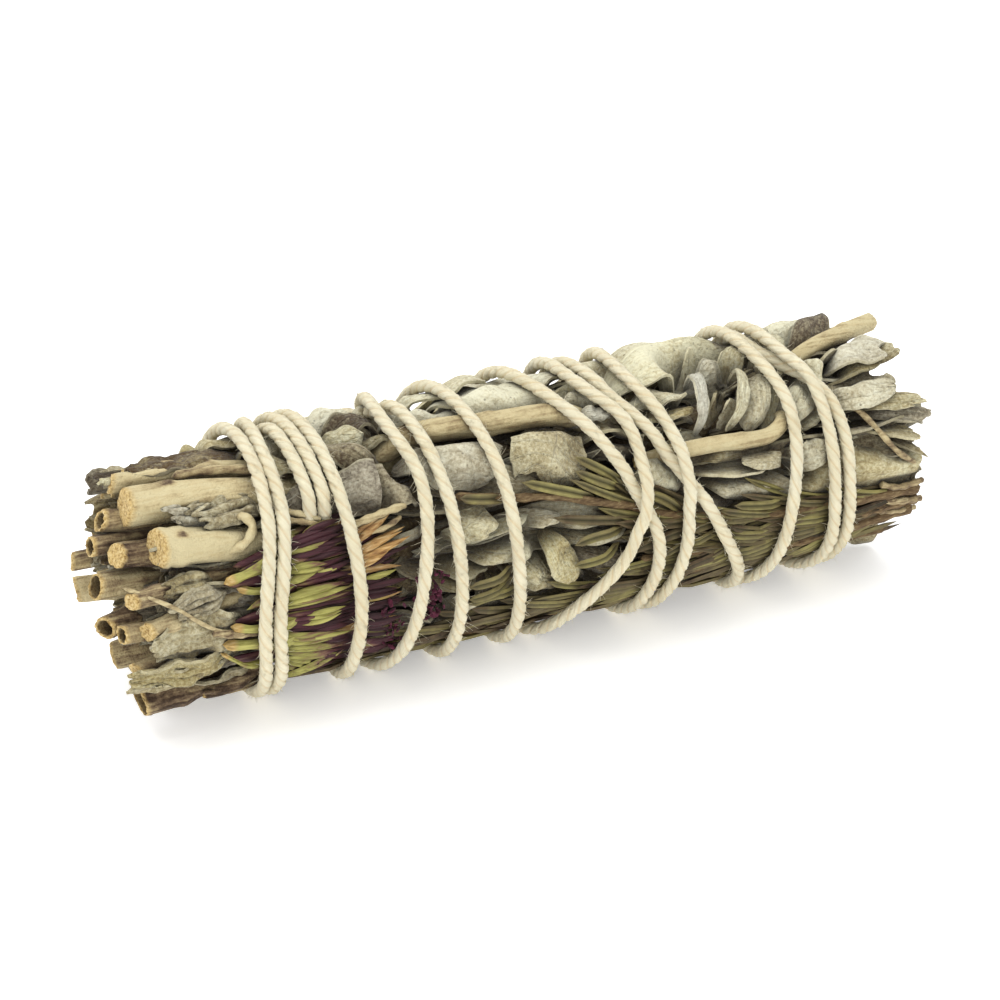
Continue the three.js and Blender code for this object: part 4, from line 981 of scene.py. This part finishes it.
def leaf_material(look):
    # Sage leaf, air dried: felted with fine grey hairs, so matt with a faint velvet sheen, mottled
    # from silver green to brown, with a paler midrib and edges, side veins and fine dark specks.
    material, tree, shader, place = new_material("Dried sage leaf", 0.92, 0.15, 0.15)
    tone = point_value(tree, "tone")
    veins = point_value(tree, "veins")
    shade = point_value(tree, "shade")
    uv = node(tree, "SeparateXYZ", {0: node(tree, "UVMap", uv_map="UVMap")})
    # shrivelled skin, wrinkles about 1 mm apart that run along the leaf, other ones on each leaf
    leaf_place = node(tree, "CombineXYZ", {0: uv.outputs["X"], 1: uv.outputs["Y"], 2: tone})
    drawn = node(tree, "Mapping", {0: leaf_place, 3: (5, 9, 60)})
    skin = node(tree, "TexNoise", {"Vector": drawn, "Scale": 1.0, "Detail": 5, "Distortion": 0.7})
    # blotches about 6 mm across
    blotch = noise(tree, place, 6, 5, 0.62)
    spread = rescale(tree, blotch, 0.3, 0.7, -0.45, 0.03)
    streaked = calc(tree, "MULTIPLY_ADD", skin, 0.42, spread)
    # mealy grain about 0.45 mm across
    grit = noise(tree, place, 0.45, 4, 0.6)
    grained = rescale(tree, grit, 0.35, 0.65, -0.2, 0.2)
    mealy = calc(tree, "ADD", streaked, grained)
    toned = calc(tree, "ADD", tone, mealy, use_clamp=True)
    ripe = ramp(
        tree, toned, (0.0, look.leaf_pale), (0.28, "#CEC5A2"), (0.52, "#AFA27D"),
        (0.76, look.leaf_brown), (1.0, "#58462F"),
    )
    # some leaves greyer and some more khaki than the rest, picked by each leaf's own tone
    pick = node(tree, "TexNoise", {"W": tone, "Scale": 43.0, "Detail": 1}, noise_dimensions="1D")
    cast = rescale(tree, pick, 0.3, 0.7, 0.62, 1.25)
    colour = node(tree, "HueSaturation", {"Saturation": cast, "Color": ripe})
    centred = calc(tree, "SUBTRACT", uv.outputs["Y"], 0.5)
    apart = calc(tree, "MULTIPLY", centred, 2.0)
    away = calc(tree, "ABSOLUTE", apart)
    rib = rescale(tree, away, 0.02, 0.075, 1.0, 0.0)
    # side veins 2.5 mm apart on a 30 mm leaf, slanted towards the tip
    run = calc(tree, "MULTIPLY", uv.outputs["X"], 12.0)
    slant = calc(tree, "MULTIPLY_ADD", away, -2.0, run)
    cycle = calc(tree, "PINGPONG", slant, 1.0)
    side = rescale(tree, cycle, 0.05, 0.22, 1.0, 0.0)
    # a net of small veins, cells about 0.55 mm
    net = node(tree, "TexVoronoi", {"Vector": place, "Scale": 1 / (0.55 * MM)}, feature="DISTANCE_TO_EDGE")
    mesh = rescale(tree, net, 0.02, 0.25, 0.5, 0.0)
    lines = calc(tree, "MAXIMUM", side, mesh)
    ribbed = calc(tree, "MAXIMUM", lines, rib)
    veined = calc(tree, "MULTIPLY", ribbed, veins)
    rim = rescale(tree, away, 0.86, 1.0, 0.0, 0.5)
    paler = calc(tree, "MULTIPLY_ADD", veined, 0.2, rim, use_clamp=True)
    edged = blend(tree, paler, colour, linear("#CDC6A6"))
    # dark specks about 0.3 mm across, a few to each square centimetre
    dots = node(tree, "TexVoronoi", {"Vector": place, "Scale": 1 / (1.6 * MM)})
    speck = rescale(tree, dots, 0.06, 0.13, 0.55, 0.0)
    specked = blend(tree, speck, edged, linear("#4B3F2B"))
    # painted shade: by each point's shade value, deeper leaves, the flat leaves and the cores are darkened
    # towards dark brown
    dim = rescale(tree, shade, 0.0, 1.0, 0.68, 0.0)
    shade_painted = blend(tree, dim, specked, linear("#3A2E1E"))
    # painted shade: the crevices and gaps between leaves darkened towards near black brown
    fill(tree, shader, {"Base Color": creased(tree, shade_painted, 2.6, 0.84, "#1A130A")})
    # pebbled skin, cells of about 0.55 mm that stand up between the veins
    pebble = rescale(tree, net, 0.0, 0.4, 0.0, 0.22)
    coarse = calc(tree, "MULTIPLY_ADD", skin, 2.4, grit)
    skinned = calc(tree, "ADD", pebble, coarse)
    relief = calc(tree, "MULTIPLY_ADD", veined, 0.8, skinned)
    bump(tree, shader, relief, 1.0, 0.34)
    return material


def stem_material(look):
    # Woody herb stem, dried and snipped: pale tan bark with fine lengthwise ridges and darker flecks,
    # golden fibrous wood on the cut face and a hollow where the pith has shrunk away, its inside
    # painted dark brown as painted shade.
    material, tree, shader, place = new_material("Dried sage stem", 0.8, 0.05, 0.25)
    tone = point_value(tree, "tone")
    cut = point_value(tree, "cut")
    hollow = point_value(tree, "hollow")
    # streaks 0.5 mm wide and about 7 mm long, along the bunch
    streak_place = node(tree, "Mapping", {0: place, 3: (0.07, 1, 1)})
    streak = noise(tree, streak_place, 0.5, 5)
    patch = noise(tree, place, 2.2, 5, 0.7)
    both = calc(tree, "ADD", streak, patch)
    spread = rescale(tree, both, 0.75, 1.25, -0.28, 0.34)
    toned = calc(tree, "ADD", tone, spread, use_clamp=True)
    bark = ramp(
        tree, toned, (0.0, look.stem_pale), (0.3, "#C6B68C"), (0.55, "#A18F6A"), (0.8, "#6B5843"),
        (1.0, "#3E2E20"),
    )
    grain = noise(tree, place, 0.3, 3)
    wood = ramp(tree, grain, (0.3, "#8A6C3C"), (0.5, look.stem_cut), (0.7, "#DCC794"))
    faced = blend(tree, cut, bark, wood)
    # painted shade inside the bore of a hollow stem
    bore_shaded = blend(tree, hollow, faced, linear("#2A1C0E"))
    # painted shade: the crevices between stems and leaves darkened towards near black brown
    fill(tree, shader, {"Base Color": creased(tree, bore_shaded, 2.5, 0.8, "#21160A")})
    relief = calc(tree, "ADD", streak, grain)
    bump(tree, shader, relief, 0.9, 0.3)
    return material


def needle_material(look):
    # Rosemary needle, dried: leathery and slightly glossy, olive, with a groove down the middle
    # painted dark as painted shade, paler rolled margins and browner tips.
    material, tree, shader, place = new_material("Dried rosemary needle", 0.6, 0.0, 0.35)
    tone = point_value(tree, "tone")
    groove = point_value(tree, "groove")
    patch = noise(tree, place, 1.5, 4, 0.6)
    spread = rescale(tree, patch, 0.3, 0.7, -0.2, 0.2)
    toned = calc(tree, "ADD", tone, spread, use_clamp=True)
    colour = ramp(
        tree, toned, (0.0, "#9C945A"), (0.3, look.needle), (0.6, "#6E6245"), (0.85, "#5D4D36"),
        (1.0, "#3E3122"),
    )
    # painted shade: the groove down the middle of each needle darkened towards near black olive
    dark = blend(tree, groove, colour, linear("#35321B"))
    # painted shade: the crevices round the needles darkened towards near black
    fill(tree, shader, {"Base Color": creased(tree, dark, 1.6, 0.8, "#1B160B")})
    fine = noise(tree, place, 0.3, 3)
    bump(tree, shader, fine, 0.5, 0.1)
    return material


def twig_material(look):
    # Rosemary twig: thin reddish brown bark that flakes, with grey dust in its scars.
    material, tree, shader, place = new_material("Rosemary twig bark", 0.82, 0.0, 0.25)
    stretched = node(tree, "Mapping", {0: place, 3: (0.25, 1, 1)})
    flake = noise(tree, stretched, 0.4, 5, 0.7)
    colour = ramp(tree, flake, (0.3, "#3F2F20"), (0.45, look.twig), (0.58, "#7C6849"), (0.72, "#A3906A"))
    fill(tree, shader, {"Base Color": colour})
    bump(tree, shader, flake, 0.8, 0.2)
    return material


def bract_material(look):
    # Dried thistle-like flower head: papery bracts, yellow green at the foot and along the edges, dark
    # purple in the middle and at the tips, some faded to amber straw; fine veins along each.
    material, tree, shader, place = new_material("Dried flower bract", 0.55, 0.0, 0.35)
    foot = point_value(tree, "foot")
    edge = point_value(tree, "edge")
    faded = point_value(tree, "faded")
    streak_place = node(tree, "Mapping", {0: place, 3: (0.12, 1, 1)})
    streak = noise(tree, streak_place, 0.4, 4)
    varied = rescale(tree, streak, 0.3, 0.7, -0.16, 0.16)
    along = calc(tree, "ADD", foot, varied, use_clamp=True)
    colour = ramp(
        tree, along, (0.0, "#B5B062"), (0.25, look.bract_green), (0.42, "#7A5A48"),
        (0.6, look.bract_purple), (1.0, "#2C1216"),
    )
    rim = blend(tree, edge, colour, linear("#B5AF5A"))
    straw = ramp(tree, streak, (0.3, "#7A5430"), (0.5, "#BC9458"), (0.7, "#E0C896"))
    aged = blend(tree, faded, rim, straw)
    # painted shade: the gaps between bracts darkened towards near black
    fill(tree, shader, {"Base Color": creased(tree, aged, 1.6, 0.92, "#140B0A")})
    bump(tree, shader, streak, 0.9, 0.3)
    return material


def crumb_material(look):
    # Crumbled florets: dry crimson to brown flakes.
    material, tree, shader, place = new_material("Crumbled floret", 0.8, 0.1, 0.2)
    patch = noise(tree, place, 0.6, 3)
    colour = ramp(tree, patch, (0.3, "#2B1018"), (0.5, look.floret), (0.7, "#6E3248"))
    fill(tree, shader, {"Base Color": colour})
    return material


def twine_material(look):
    # Three ply cotton twine, unbleached: cream, matt and hairy, with tan shadow lines where the plies
    # meet and fine fibres along each ply.
    material, tree, shader, place = new_material("Cotton twine", 0.95, 0.25, 0.1)
    groove = point_value(tree, "groove")
    uv = node(tree, "UVMap", uv_map="UVMap")
    # fibres 0.12 mm wide and 4 mm long: drawn wide enough to show
    drawn = node(tree, "Mapping", {0: uv, 3: (26, 420, 1)})
    fibre = node(tree, "TexNoise", {"Vector": drawn, "Scale": 1.0, "Detail": 4, "Roughness": 0.6})
    patch = noise(tree, place, 5, 3)
    both = calc(tree, "ADD", fibre, patch)
    spread = rescale(tree, both, 0.7, 1.3, 0.0, 1.0)
    cream = blend(tree, spread, linear("#E8DCB8"), look.twine_cream)
    sunk = rescale(tree, groove, 0.2, 1.0, 0.0, 0.45)
    lined = blend(tree, sunk, cream, look.twine_line)
    fill(tree, shader, {"Base Color": lined})
    # woolly nap in tufts of about 0.3 mm
    nap = noise(tree, place, 0.3, 5, 0.7)
    woolly = calc(tree, "ADD", fibre, nap)
    bump(tree, shader, woolly, 0.9, 0.26)
    return material


def floor_material(look):
    # Matt white paper sweep, with a trace of tooth.
    material, tree, shader, place = new_material("White paper", 0.9, 0.0, 0.1)
    tooth = noise(tree, place, 0.8, 2)
    colour = blend(tree, tooth, look.floor, linear("#FFFFFF"))
    fill(tree, shader, {"Base Color": colour})
    # light that comes up through the sweep, as from a light table
    fill(tree, shader, {"Emission Color": linear("#FFFFFF"), "Emission Strength": look.floor_glow})
    return material


def colour_property(name, description, code):
    return bpy.props.FloatVectorProperty(
        name=name, description=description, subtype="COLOR", size=4, min=0, max=1, default=linear(code))


class SageLook(bpy.types.PropertyGroup):
    leaf_thickness: bpy.props.FloatProperty(
        name="Leaf thickness", description="Thickness of a dried leaf", default=0.0004, unit="LENGTH")
    leaf_pale: colour_property("Pale leaf", "Colour of the palest leaves", "#E6E2C4")
    leaf_brown: colour_property("Brown leaf", "Colour of the browned leaves", "#8A7C5A")
    stem_pale: colour_property("Pale bark", "Colour of the palest bark", "#CFC299")
    stem_cut: colour_property("Cut stem", "Colour of a cut end", "#C9AC70")


class HerbLook(bpy.types.PropertyGroup):
    needle_width: bpy.props.FloatProperty(
        name="Needle width", description="Width of a rosemary needle", default=0.0018, unit="LENGTH")
    needle: colour_property("Needle", "Colour of rosemary needles", "#82784C")
    twig: colour_property("Twig", "Colour of rosemary bark", "#5F4C35")
    bract_green: colour_property("Bract foot", "Colour at the foot of a bract", "#8F8B48")
    bract_purple: colour_property("Bract tip", "Colour of the upper bracts", "#4A2029")
    floret: colour_property("Floret", "Colour of crumbled florets", "#4A1A2C")


class TwineLook(bpy.types.PropertyGroup):
    thickness: bpy.props.FloatProperty(
        name="Thickness", description="Thickness of the twine", default=0.0017, unit="LENGTH")
    twist: bpy.props.FloatProperty(
        name="Twist", description="Length of one full twist of the plies", default=0.0062, unit="LENGTH")
    twine_cream: colour_property("Cotton", "Colour of the cotton", "#F6EFD2")
    twine_line: colour_property("Ply line", "Colour between the plies", "#D9BA82")


class StageLook(bpy.types.PropertyGroup):
    floor: colour_property("Floor", "Colour of the floor", "#F8F8F7")
    floor_glow: bpy.props.FloatProperty(
        name="Floor glow", description="Strength of the light through the floor", default=0.34)
    key_power: bpy.props.FloatProperty(
        name="Key light", description="Power of the light above", default=2.4, unit="POWER")
    fill: bpy.props.FloatProperty(
        name="Fill light", description="Strength of the light all round", default=0.9)


def keep(made, node_name):
    """A finished piece: rides on the frame and stands for its CAD node."""
    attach(made, "root")
    if node_name:
        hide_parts(node_name)


class BUNCH_OT_sage(bpy.types.Operator):
    """Sage sprigs: leaves, cut stems and leaf stalks"""
    bl_idname = "bunch.sage"
    bl_label = "Sage sprigs"

    def execute(self, context):
        look = context.scene.sage_look
        rng = np.random.default_rng(SAGE_SEED)
        leaf, stem = leaf_material(look), stem_material(look)
        sheets = (Sheet(20, 10), Sheet(44, 16), Sheet(30, 10), Sheet(44, 18))
        stem_rod, core_rod = Rod(26, 34), Rod(20, 24)
        shapes = {}
        for number, fineness, settings in leaf_sets(rng):
            shapes.setdefault((number, fineness), []).append(leaf_shape(sheets[fineness], rng, **settings))
        for number in range(1, SPRIGS + 1):
            parts = []
            for fineness, sheet in enumerate(sheets):
                if (number, fineness) in shapes:
                    made = put("leaves", sheet, shapes[number, fineness], leaf)
                    apply_modifier(
                        made, "SOLIDIFY", thickness=look.leaf_thickness, offset=0, use_quality_normals=True)
                    parts.append(made)
            inner = number > OUTER_SPRIGS
            middle = sprig_middle(number)
            core = core_shape(core_rod, rng, middle, *((0.3, 5.0, 56) if inner else (5.2, 11.4, 19)))
            parts.append(put("core", core_rod, [core], leaf))
            kinds = [kind[1:] for kind in STEMS if kind[0] == number]
            kinds += [(kind[1], False, *kind[2:]) for kind in STALKS if kind[0] == number]
            if kinds:
                stems = [stem_shape(stem_rod, rng, *kind) for kind in kinds]
                parts.append(put("stems", stem_rod, stems, stem))
            keep(joined(f"sage_{number}", parts), f"sage_sprig_{number}")
        return {"FINISHED"}


class BUNCH_OT_rosemary(bpy.types.Operator):
    """Rosemary sprigs: a twig with grooved needles"""
    bl_idname = "bunch.rosemary"
    bl_label = "Rosemary sprigs"

    def execute(self, context):
        look = context.scene.herb_look
        rng = np.random.default_rng(ROSEMARY_SEED)
        needle, bark = needle_material(look), twig_material(look)
        rod, twig_rod = Rod(8, 8), Rod(12, 80)
        half = look.needle_width / MM / 2
        s = np.linspace(0, 1, 9)

        def section(turn, ring):
            """Two ridges with a groove between them, rounded below."""
            top = np.sin(turn)
            return np.cos(turn), np.where(top > 0.9, 0.08, np.where(top > 0.1, 0.55, top * 0.45))

        def needle_on(x, angle, layer, half, tone):
            height = mix(-1.2, layer, ease(s, 0, 0.4)) + 0.12 * np.sin(6 * s + rng.uniform(0, 6))
            height = np.minimum(height, LIE.at(x, angle, LIE.wrap) - 0.4)
            reach = half * np.array([0, 0.85, 0.98, 1, 1, 1, 0.98, 0.85, 0])
            points = rod_shape(rod, over(x, angle, height), reach, section)
            # painted shade mask for the groove along the top of the needle
            groove = np.where((np.sin(rod.turn) > 0.9) & (rod.ring > 0) & (rod.ring < 8), 0.85, 0.0)
            return points, {"tone": tone + 0.2 * (rod.ring > 6) + 0.25 * (rod.ring < 2), "groove": groove}

        for index, sprig in enumerate(ROSEMARY):
            x, angle, heading = path_over(sprig["path"], 81)
            thin = np.linspace(0.6, 1, 81) if sprig["tip"] < 0 else np.linspace(1, 0.6, 81)
            knobs = 1 + 0.12 * np.sin(np.arange(81) * 1.3) + rng.normal(0, 0.05, 81)
            radius = sprig["twig"] * thin * knobs
            radius[[0, -1]] = 0
            height = np.minimum(-0.75, LIE.at(x, angle, LIE.wrap) - 0.8)
            points = rod_shape(twig_rod, over(x, angle, height), radius)
            twig = put("twig", twig_rod, [(points, {})], bark)
            shapes = []
            for x0, angle0, x1, angle1 in sprig["placed"]:
                turned = mix(angle0, angle1, s) + rng.uniform(-2, 2) * np.sin(math.pi * s)
                tone = rng.uniform(0.1, 0.4)
                shapes.append(needle_on(mix(x0, x1, s), turned, -0.05, half * 0.74, tone))
            for i in range(sprig["needles"]):
                share = (i // 2 + rng.uniform(0.2, 0.8)) / (sprig["needles"] / 2)
                along = mix(sprig["bare"], 1, share) if sprig["tip"] < 0 else share * 0.86
                at = min(int(along * 80), 80)
                spread = mix(*sprig["spread"], share) * rng.uniform(0.3, 1.35) * (1 if i % 2 else -1)
                turn = math.radians(heading[at] + (180 if sprig["tip"] < 0 else 0) + spread)
                bend = math.radians(rng.uniform(-14, 14))
                length = rng.uniform(11, 20)
                run = s * length * np.cos(turn + bend * s)
                climb = s * length * np.sin(turn + bend * s)
                most = min((56 - x[at]) / max(run.max(), 1e-6), (57 + x[at]) / max(-run.min(), 1e-6), 1.0)
                turned = angle[at] + np.degrees(climb * most / MIDDLE_RADIUS)
                tone = np.clip(rng.normal(0.48, 0.22), 0, 1)
                wide = half * rng.uniform(0.55, 0.82)
                shapes.append(needle_on(x[at] + run * most, turned, rng.uniform(-1.5, 0.1), wide, tone))
            needles = put("needles", rod, shapes, needle)
            made = joined(f"rosemary_{index + 1}", [needles, twig], 50)
            keep(made, f"rosemary_sprig_{index + 1}")
        return {"FINISHED"}


class BUNCH_OT_flowers(bpy.types.Operator):
    """Dried flower heads: overlapping bracts on stalks cut short"""
    bl_idname = "bunch.flowers"
    bl_label = "Flower heads"

    def execute(self, context):
        look = context.scene.herb_look
        rng = np.random.default_rng(FLOWER_SEED)
        bract, floret = bract_material(look), crumb_material(look)
        rod, heart_rod, stub_rod = Rod(8, 8), Rod(14, 16), Rod(12, 16)
        s = np.linspace(0, 1, 9)

        def flat(turn, ring):
            return np.cos(turn), np.sin(turn) * 0.42

        def keeled(turn, ring):
            return np.cos(turn), np.sin(turn) * 0.3 - 0.75 * np.cos(turn) ** 2

        def ribbed(turn, ring):
            rib = 1 + 0.1 * np.cos(6 * turn)
            return np.cos(turn) * rib, np.sin(turn) * rib

        def bract_on(x, angle, height, half, foot, tip, faded, rimmed):
            height = np.minimum(height, LIE.at(x, angle, LIE.wrap) - 0.25)
            reach = half * np.array([0, 0.62, 0.9, 1, 1, 0.9, 0.68, 0.36, 0])
            points = rod_shape(rod, over(x, angle, height), reach, keeled)
            edge = rimmed * (abs(np.cos(rod.turn)) > 0.9) * (1 - 0.5 * rod.ring / 8)
            return points, {"foot": mix(foot, tip, rod.ring / 8), "edge": edge, "faded": faded}

        for index, flower in enumerate(FLOWERS):
            x, angle, heading = path_over(flower["path"], 41)
            half = flower["width"] / 2
            swell = np.interp(
                np.linspace(0, 1, 17), [0, 0.06, 0.4, 0.65, 0.9, 1], [0, 0.3, 1, 0.85, 0.35, 0])
            heart = rod_shape(heart_rod, over(x[:33:2], angle[:33:2], -1.6), half * 0.75 * swell, flat)
            shapes = [(heart, {"foot": 0.55 + heart_rod.ring / 40, "edge": 0.0, "faded": 0.0})]
            parts = [put("heart", heart_rod, shapes, bract)]
            shapes = []
            for number, x0, angle0, x1, angle1, width, foot, tip, faded in BRACTS:
                blades = max(1, round(width / 0.75)) if number == index + 1 else 0
                for blade in range(blades):
                    aside = math.degrees(((blade + 0.5) / blades - 0.5) * width / MIDDLE_RADIUS)
                    bow = rng.uniform(-1.2, 1.2) * np.sin(math.pi * s)
                    turned = mix(angle0 + aside, angle1 + 0.7 * aside, s) + bow
                    along = mix(x0 + rng.uniform(-0.8, 0.8), x1 + rng.uniform(-1.6, 1.0), s)
                    height = -0.4 + 0.9 * np.sin(math.pi * (0.12 + 0.76 * s)) - 0.045 * len(shapes)
                    height = height + rng.uniform(-0.15, 0.15)
                    colours = (np.clip(foot + rng.normal(0, 0.08), 0, 1), min(tip + rng.uniform(0, 0.4), 1))
                    rimmed = 0.7 * (foot > 0.3 and rng.uniform() < 0.35)
                    blade_half = 0.62 * width / blades
                    shapes.append(bract_on(along, turned, height, blade_half, *colours, faded, rimmed))
            for _ in range(SMALL_BRACTS):
                share = rng.uniform(0.1, 0.6)
                at = int(share * 40)
                side = rng.uniform(-1, 1)
                turn = math.radians(heading[at] + side * 12 + rng.uniform(-4, 4))
                length = min(rng.uniform(7, 12), (x[-1] + 2.5 - x[at]) * 1.05)
                arc = half * 0.8 * side + s * length * np.sin(turn)
                turned = angle[at] + np.degrees(arc / MIDDLE_RADIUS)
                height = -1.5 + 0.5 * np.sin(math.pi * s) + rng.uniform(-0.3, 0.3)
                foot = rng.uniform(0.1, 0.7)
                width = rng.uniform(0.4, 0.85)
                faded = (rng.uniform() < 0.15) * rng.uniform(0.5, 1)
                places = (x[at] + s * length * np.cos(turn), turned)
                shapes.append(bract_on(*places, height, width, foot, min(foot + 0.4, 1), faded, 0.4))
            parts.append(put("bracts", rod, shapes, bract))
            shapes = []
            for number, thickness, path in STUBS:
                if number == index + 1:
                    line = evenly(smooth_line([around(*knot) for knot in path]), 17)
                    points = rod_shape(stub_rod, line, thickness / 2 * np.array(STUB_SHAPE), ribbed)
                    foot = np.interp(stub_rod.ring, [0, 4, 7, 9, 16], [0.2, 0.14, 0.3, 0.1, 0.2])
                    faded = 0.75 * (stub_rod.ring < 3)
                    shapes.append((points, {"foot": foot, "edge": 0.0, "faded": faded}))
            if shapes:
                parts.append(put("stubs", stub_rod, shapes, bract))
            keep(joined(f"flower_{index + 1}", parts, 50), f"flower_head_{index + 1}")
        crumb_rod = Rod(6, 5)
        shapes = []
        for i in range(CRUMBS):
            on_edge = i % 3 > 0
            x = rng.normal(-17.6, 1.0) if on_edge else rng.normal(-22, 1.4)
            spot = over(x, rng.uniform(-20, 6) if on_edge else rng.uniform(-40, -4), rng.uniform(-0.7, 0.2))
            flake = crumb_rod.points * np.array([rng.uniform(0.3, 0.7), rng.uniform(0.2, 0.4), 0.12])
            flake = flake * (1 + 0.4 * np.sin(7 * crumb_rod.points[:, :1] + i))
            shapes.append((spot + flake @ np.linalg.qr(rng.normal(size=(3, 3)))[0], {}))
        crumbs = joined("floret_crumbs", [put("crumbs", crumb_rod, shapes, floret)], 40)
        keep(crumbs, None)
        return {"FINISHED"}


class BUNCH_OT_twine(bpy.types.Operator):
    """Cotton twine: three plies along the whole winding, and their loose fibres"""
    bl_idname = "bunch.twine"
    bl_label = "Cotton twine"

    def execute(self, context):
        look = context.scene.twine_look
        rng = np.random.default_rng(TWINE_SEED)
        cotton = twine_material(look)
        half = look.thickness / MM / 2
        line = smooth_line(over(*twine_places()), 3)
        length = np.linalg.norm(np.diff(line, axis=0), axis=1).sum()
        rings = int(length / 0.6)
        line = evenly(line, rings + 1)
        ahead, up, side = directions(line)
        rod = Rod(21, rings)
        far = np.linspace(0, length, rings + 1)
        turn = rod.turn - 2 * math.pi * far[rod.ring] / (look.twist / MM)
        # seven points round each ply, one of them in the valley next to it
        ply = rod.turn * 3 / (2 * math.pi) % 1
        valley = ease(np.minimum(ply, 1 - ply), 0.2, 0.03)
        uneven = 1 + 0.03 * np.sin(far * 0.9) + 0.03 * np.sin(far * 2.3) + rng.normal(0, 0.012, rings + 1)
        uneven[[0, -1]] = 0
        reach = half * uneven[rod.ring] * (1 - 0.17 * valley) * (1 + rng.normal(0, 0.022, len(turn)))
        radial = np.cos(turn)[:, None] * up[rod.ring] + np.sin(turn)[:, None] * side[rod.ring]
        points = line[rod.ring] + reach[:, None] * radial
        points[:, 2] = np.maximum(points[:, 2], LOWEST_TWINE)
        wound = put("plies", rod, [(points, {"groove": valley})], cotton)
        keep(joined("twine_wound", [wound], 80), "twine")
        hair = Rod(3, 5)
        s = np.linspace(0, 1, 6)[:, None]
        shapes = []
        while len(shapes) < FIBRES:
            at = rng.integers(20, rings - 20)
            turn = rng.uniform(0, 2 * math.pi)
            outwards = math.cos(turn) * up[at] + math.sin(turn) * side[at]
            if outwards @ up[at] < -0.5 or line[at][2] < 1.5:
                continue
            lean = rng.uniform(0.1, 0.6)
            go = ahead[at] * rng.choice([-1, 1]) * (1 - lean) + outwards * lean + 0.3 * rng.normal(size=3)
            go /= np.linalg.norm(go)
            reach = rng.uniform(0.35, 1.2)
            curl = rng.normal(size=3) * s ** 2 * reach * 0.3
            fibre = line[at] + outwards * half * 0.9 + go * s * reach + curl
            fibre[:, 2] = np.maximum(fibre[:, 2], LOWEST_FIBRE)
            thick = np.array([0, 0.028, 0.026, 0.022, 0.016, 0])
            shapes.append((rod_shape(hair, fibre, thick), {"groove": 0.0}))
        keep(joined("twine_fibres", [put("hairs", hair, shapes, cotton)], 80), None)
        return {"FINISHED"}


class BUNCH_OT_scraps(bpy.types.Operator):
    """Loose bits caught in the bunch: straws, splinters and a hooked leaf stalk"""
    bl_idname = "bunch.scraps"
    bl_label = "Loose bits"

    def execute(self, context):
        rod = Rod(8, 20)
        bark = stem_material(context.scene.sage_look)
        bark.name = "Dry straw"
        shapes = []
        for radius, tone, path in SCRAPS:
            line = evenly(smooth_line([around(*knot) for knot in path]), 21)
            thick = radius * (1 + 0.15 * np.sin(np.arange(21) * 1.3))
            thick[[0, -1]] = 0
            shapes.append((rod_shape(rod, line, thick), {"tone": tone, "cut": 0.0, "hollow": 0.0}))
        keep(joined("straw_bits", [put("straw", rod, shapes, bark)], 50), None)
        return {"FINISHED"}


class BUNCH_OT_stage(bpy.types.Operator):
    """Floor, lights and camera"""
    bl_idname = "bunch.stage"
    bl_label = "Stage"

    def execute(self, context):
        look = context.scene.stage_look
        scene = context.scene
        bpy.ops.object.select_all(action="DESELECT")
        bpy.ops.mesh.primitive_plane_add(size=FLOOR_SIZE, location=(0, 0, 0))
        floor = context.object
        floor.name = "floor"
        floor.data.materials.append(floor_material(look))
        world = bpy.data.worlds.new("Studio")
        world.use_nodes = True
        world.node_tree.nodes["Background"].inputs["Color"].default_value = linear("#FFFFFF")
        world.node_tree.nodes["Background"].inputs["Strength"].default_value = look.fill
        scene.world = world
        for name, spot, size, power in (
            ("Key", (-0.1, 0.1, 0.62), 0.6, look.key_power),
            ("Front", (-0.35, -0.5, 0.3), 0.4, look.key_power * 0.25),
        ):
            bpy.ops.object.light_add(type="AREA", location=spot)
            light = context.object
            light.name = name
            light.data.size = size
            light.data.energy = power
            light.rotation_euler = (Vector(LIGHT_AIM) - Vector(spot)).to_track_quat("-Z", "Y").to_euler()
        turn, rise = math.radians(CAMERA_TURN), math.radians(CAMERA_RISE)
        back = Vector((math.sin(turn) * math.cos(rise), -math.cos(turn) * math.cos(rise), math.sin(rise)))
        bpy.ops.object.camera_add(location=Vector(CAMERA_AIM) + back * CAMERA_DISTANCE)
        camera = context.object
        camera.rotation_euler = (-back).to_track_quat("-Z", "Y").to_euler()
        camera.data.lens = CAMERA_LENS
        camera.data.clip_start = 0.01
        scene.camera = camera
        scene.view_settings.view_transform = "Standard"
        return {"FINISHED"}


class BUNCH_PT_panel(bpy.types.Panel):
    """The bunch's pieces in the 3D view's sidebar"""
    bl_idname = "BUNCH_PT_panel"
    bl_label = "Dried sage bunch"
    bl_space_type = "VIEW_3D"
    bl_region_type = "UI"
    bl_category = "Bunch"

    def draw(self, context):
        for operator in OPERATORS:
            self.layout.operator(operator.bl_idname)
        for group in LOOKS:
            box = self.layout.box()
            look = getattr(context.scene, group)
            for name in look.__annotations__:
                box.prop(look, name)


OPERATORS = (
    BUNCH_OT_sage, BUNCH_OT_rosemary, BUNCH_OT_flowers, BUNCH_OT_twine, BUNCH_OT_scraps, BUNCH_OT_stage,
)
LOOKS = {"sage_look": SageLook, "herb_look": HerbLook, "twine_look": TwineLook, "stage_look": StageLook}


def register():
    for made in (*LOOKS.values(), *OPERATORS, BUNCH_PT_panel):
        bpy.utils.register_class(made)
    for name, group in LOOKS.items():
        setattr(bpy.types.Scene, name, bpy.props.PointerProperty(type=group))


def unregister():
    for name in LOOKS:
        delattr(bpy.types.Scene, name)
    for made in (BUNCH_PT_panel, *OPERATORS, *LOOKS.values()):
        bpy.utils.unregister_class(made)


def main():
    register()
    bpy.ops.bunch.sage()
    bpy.ops.bunch.rosemary()
    bpy.ops.bunch.flowers()
    bpy.ops.bunch.twine()
    bpy.ops.bunch.scraps()
    bpy.ops.bunch.stage()


if __name__ == "__main__":
    main()
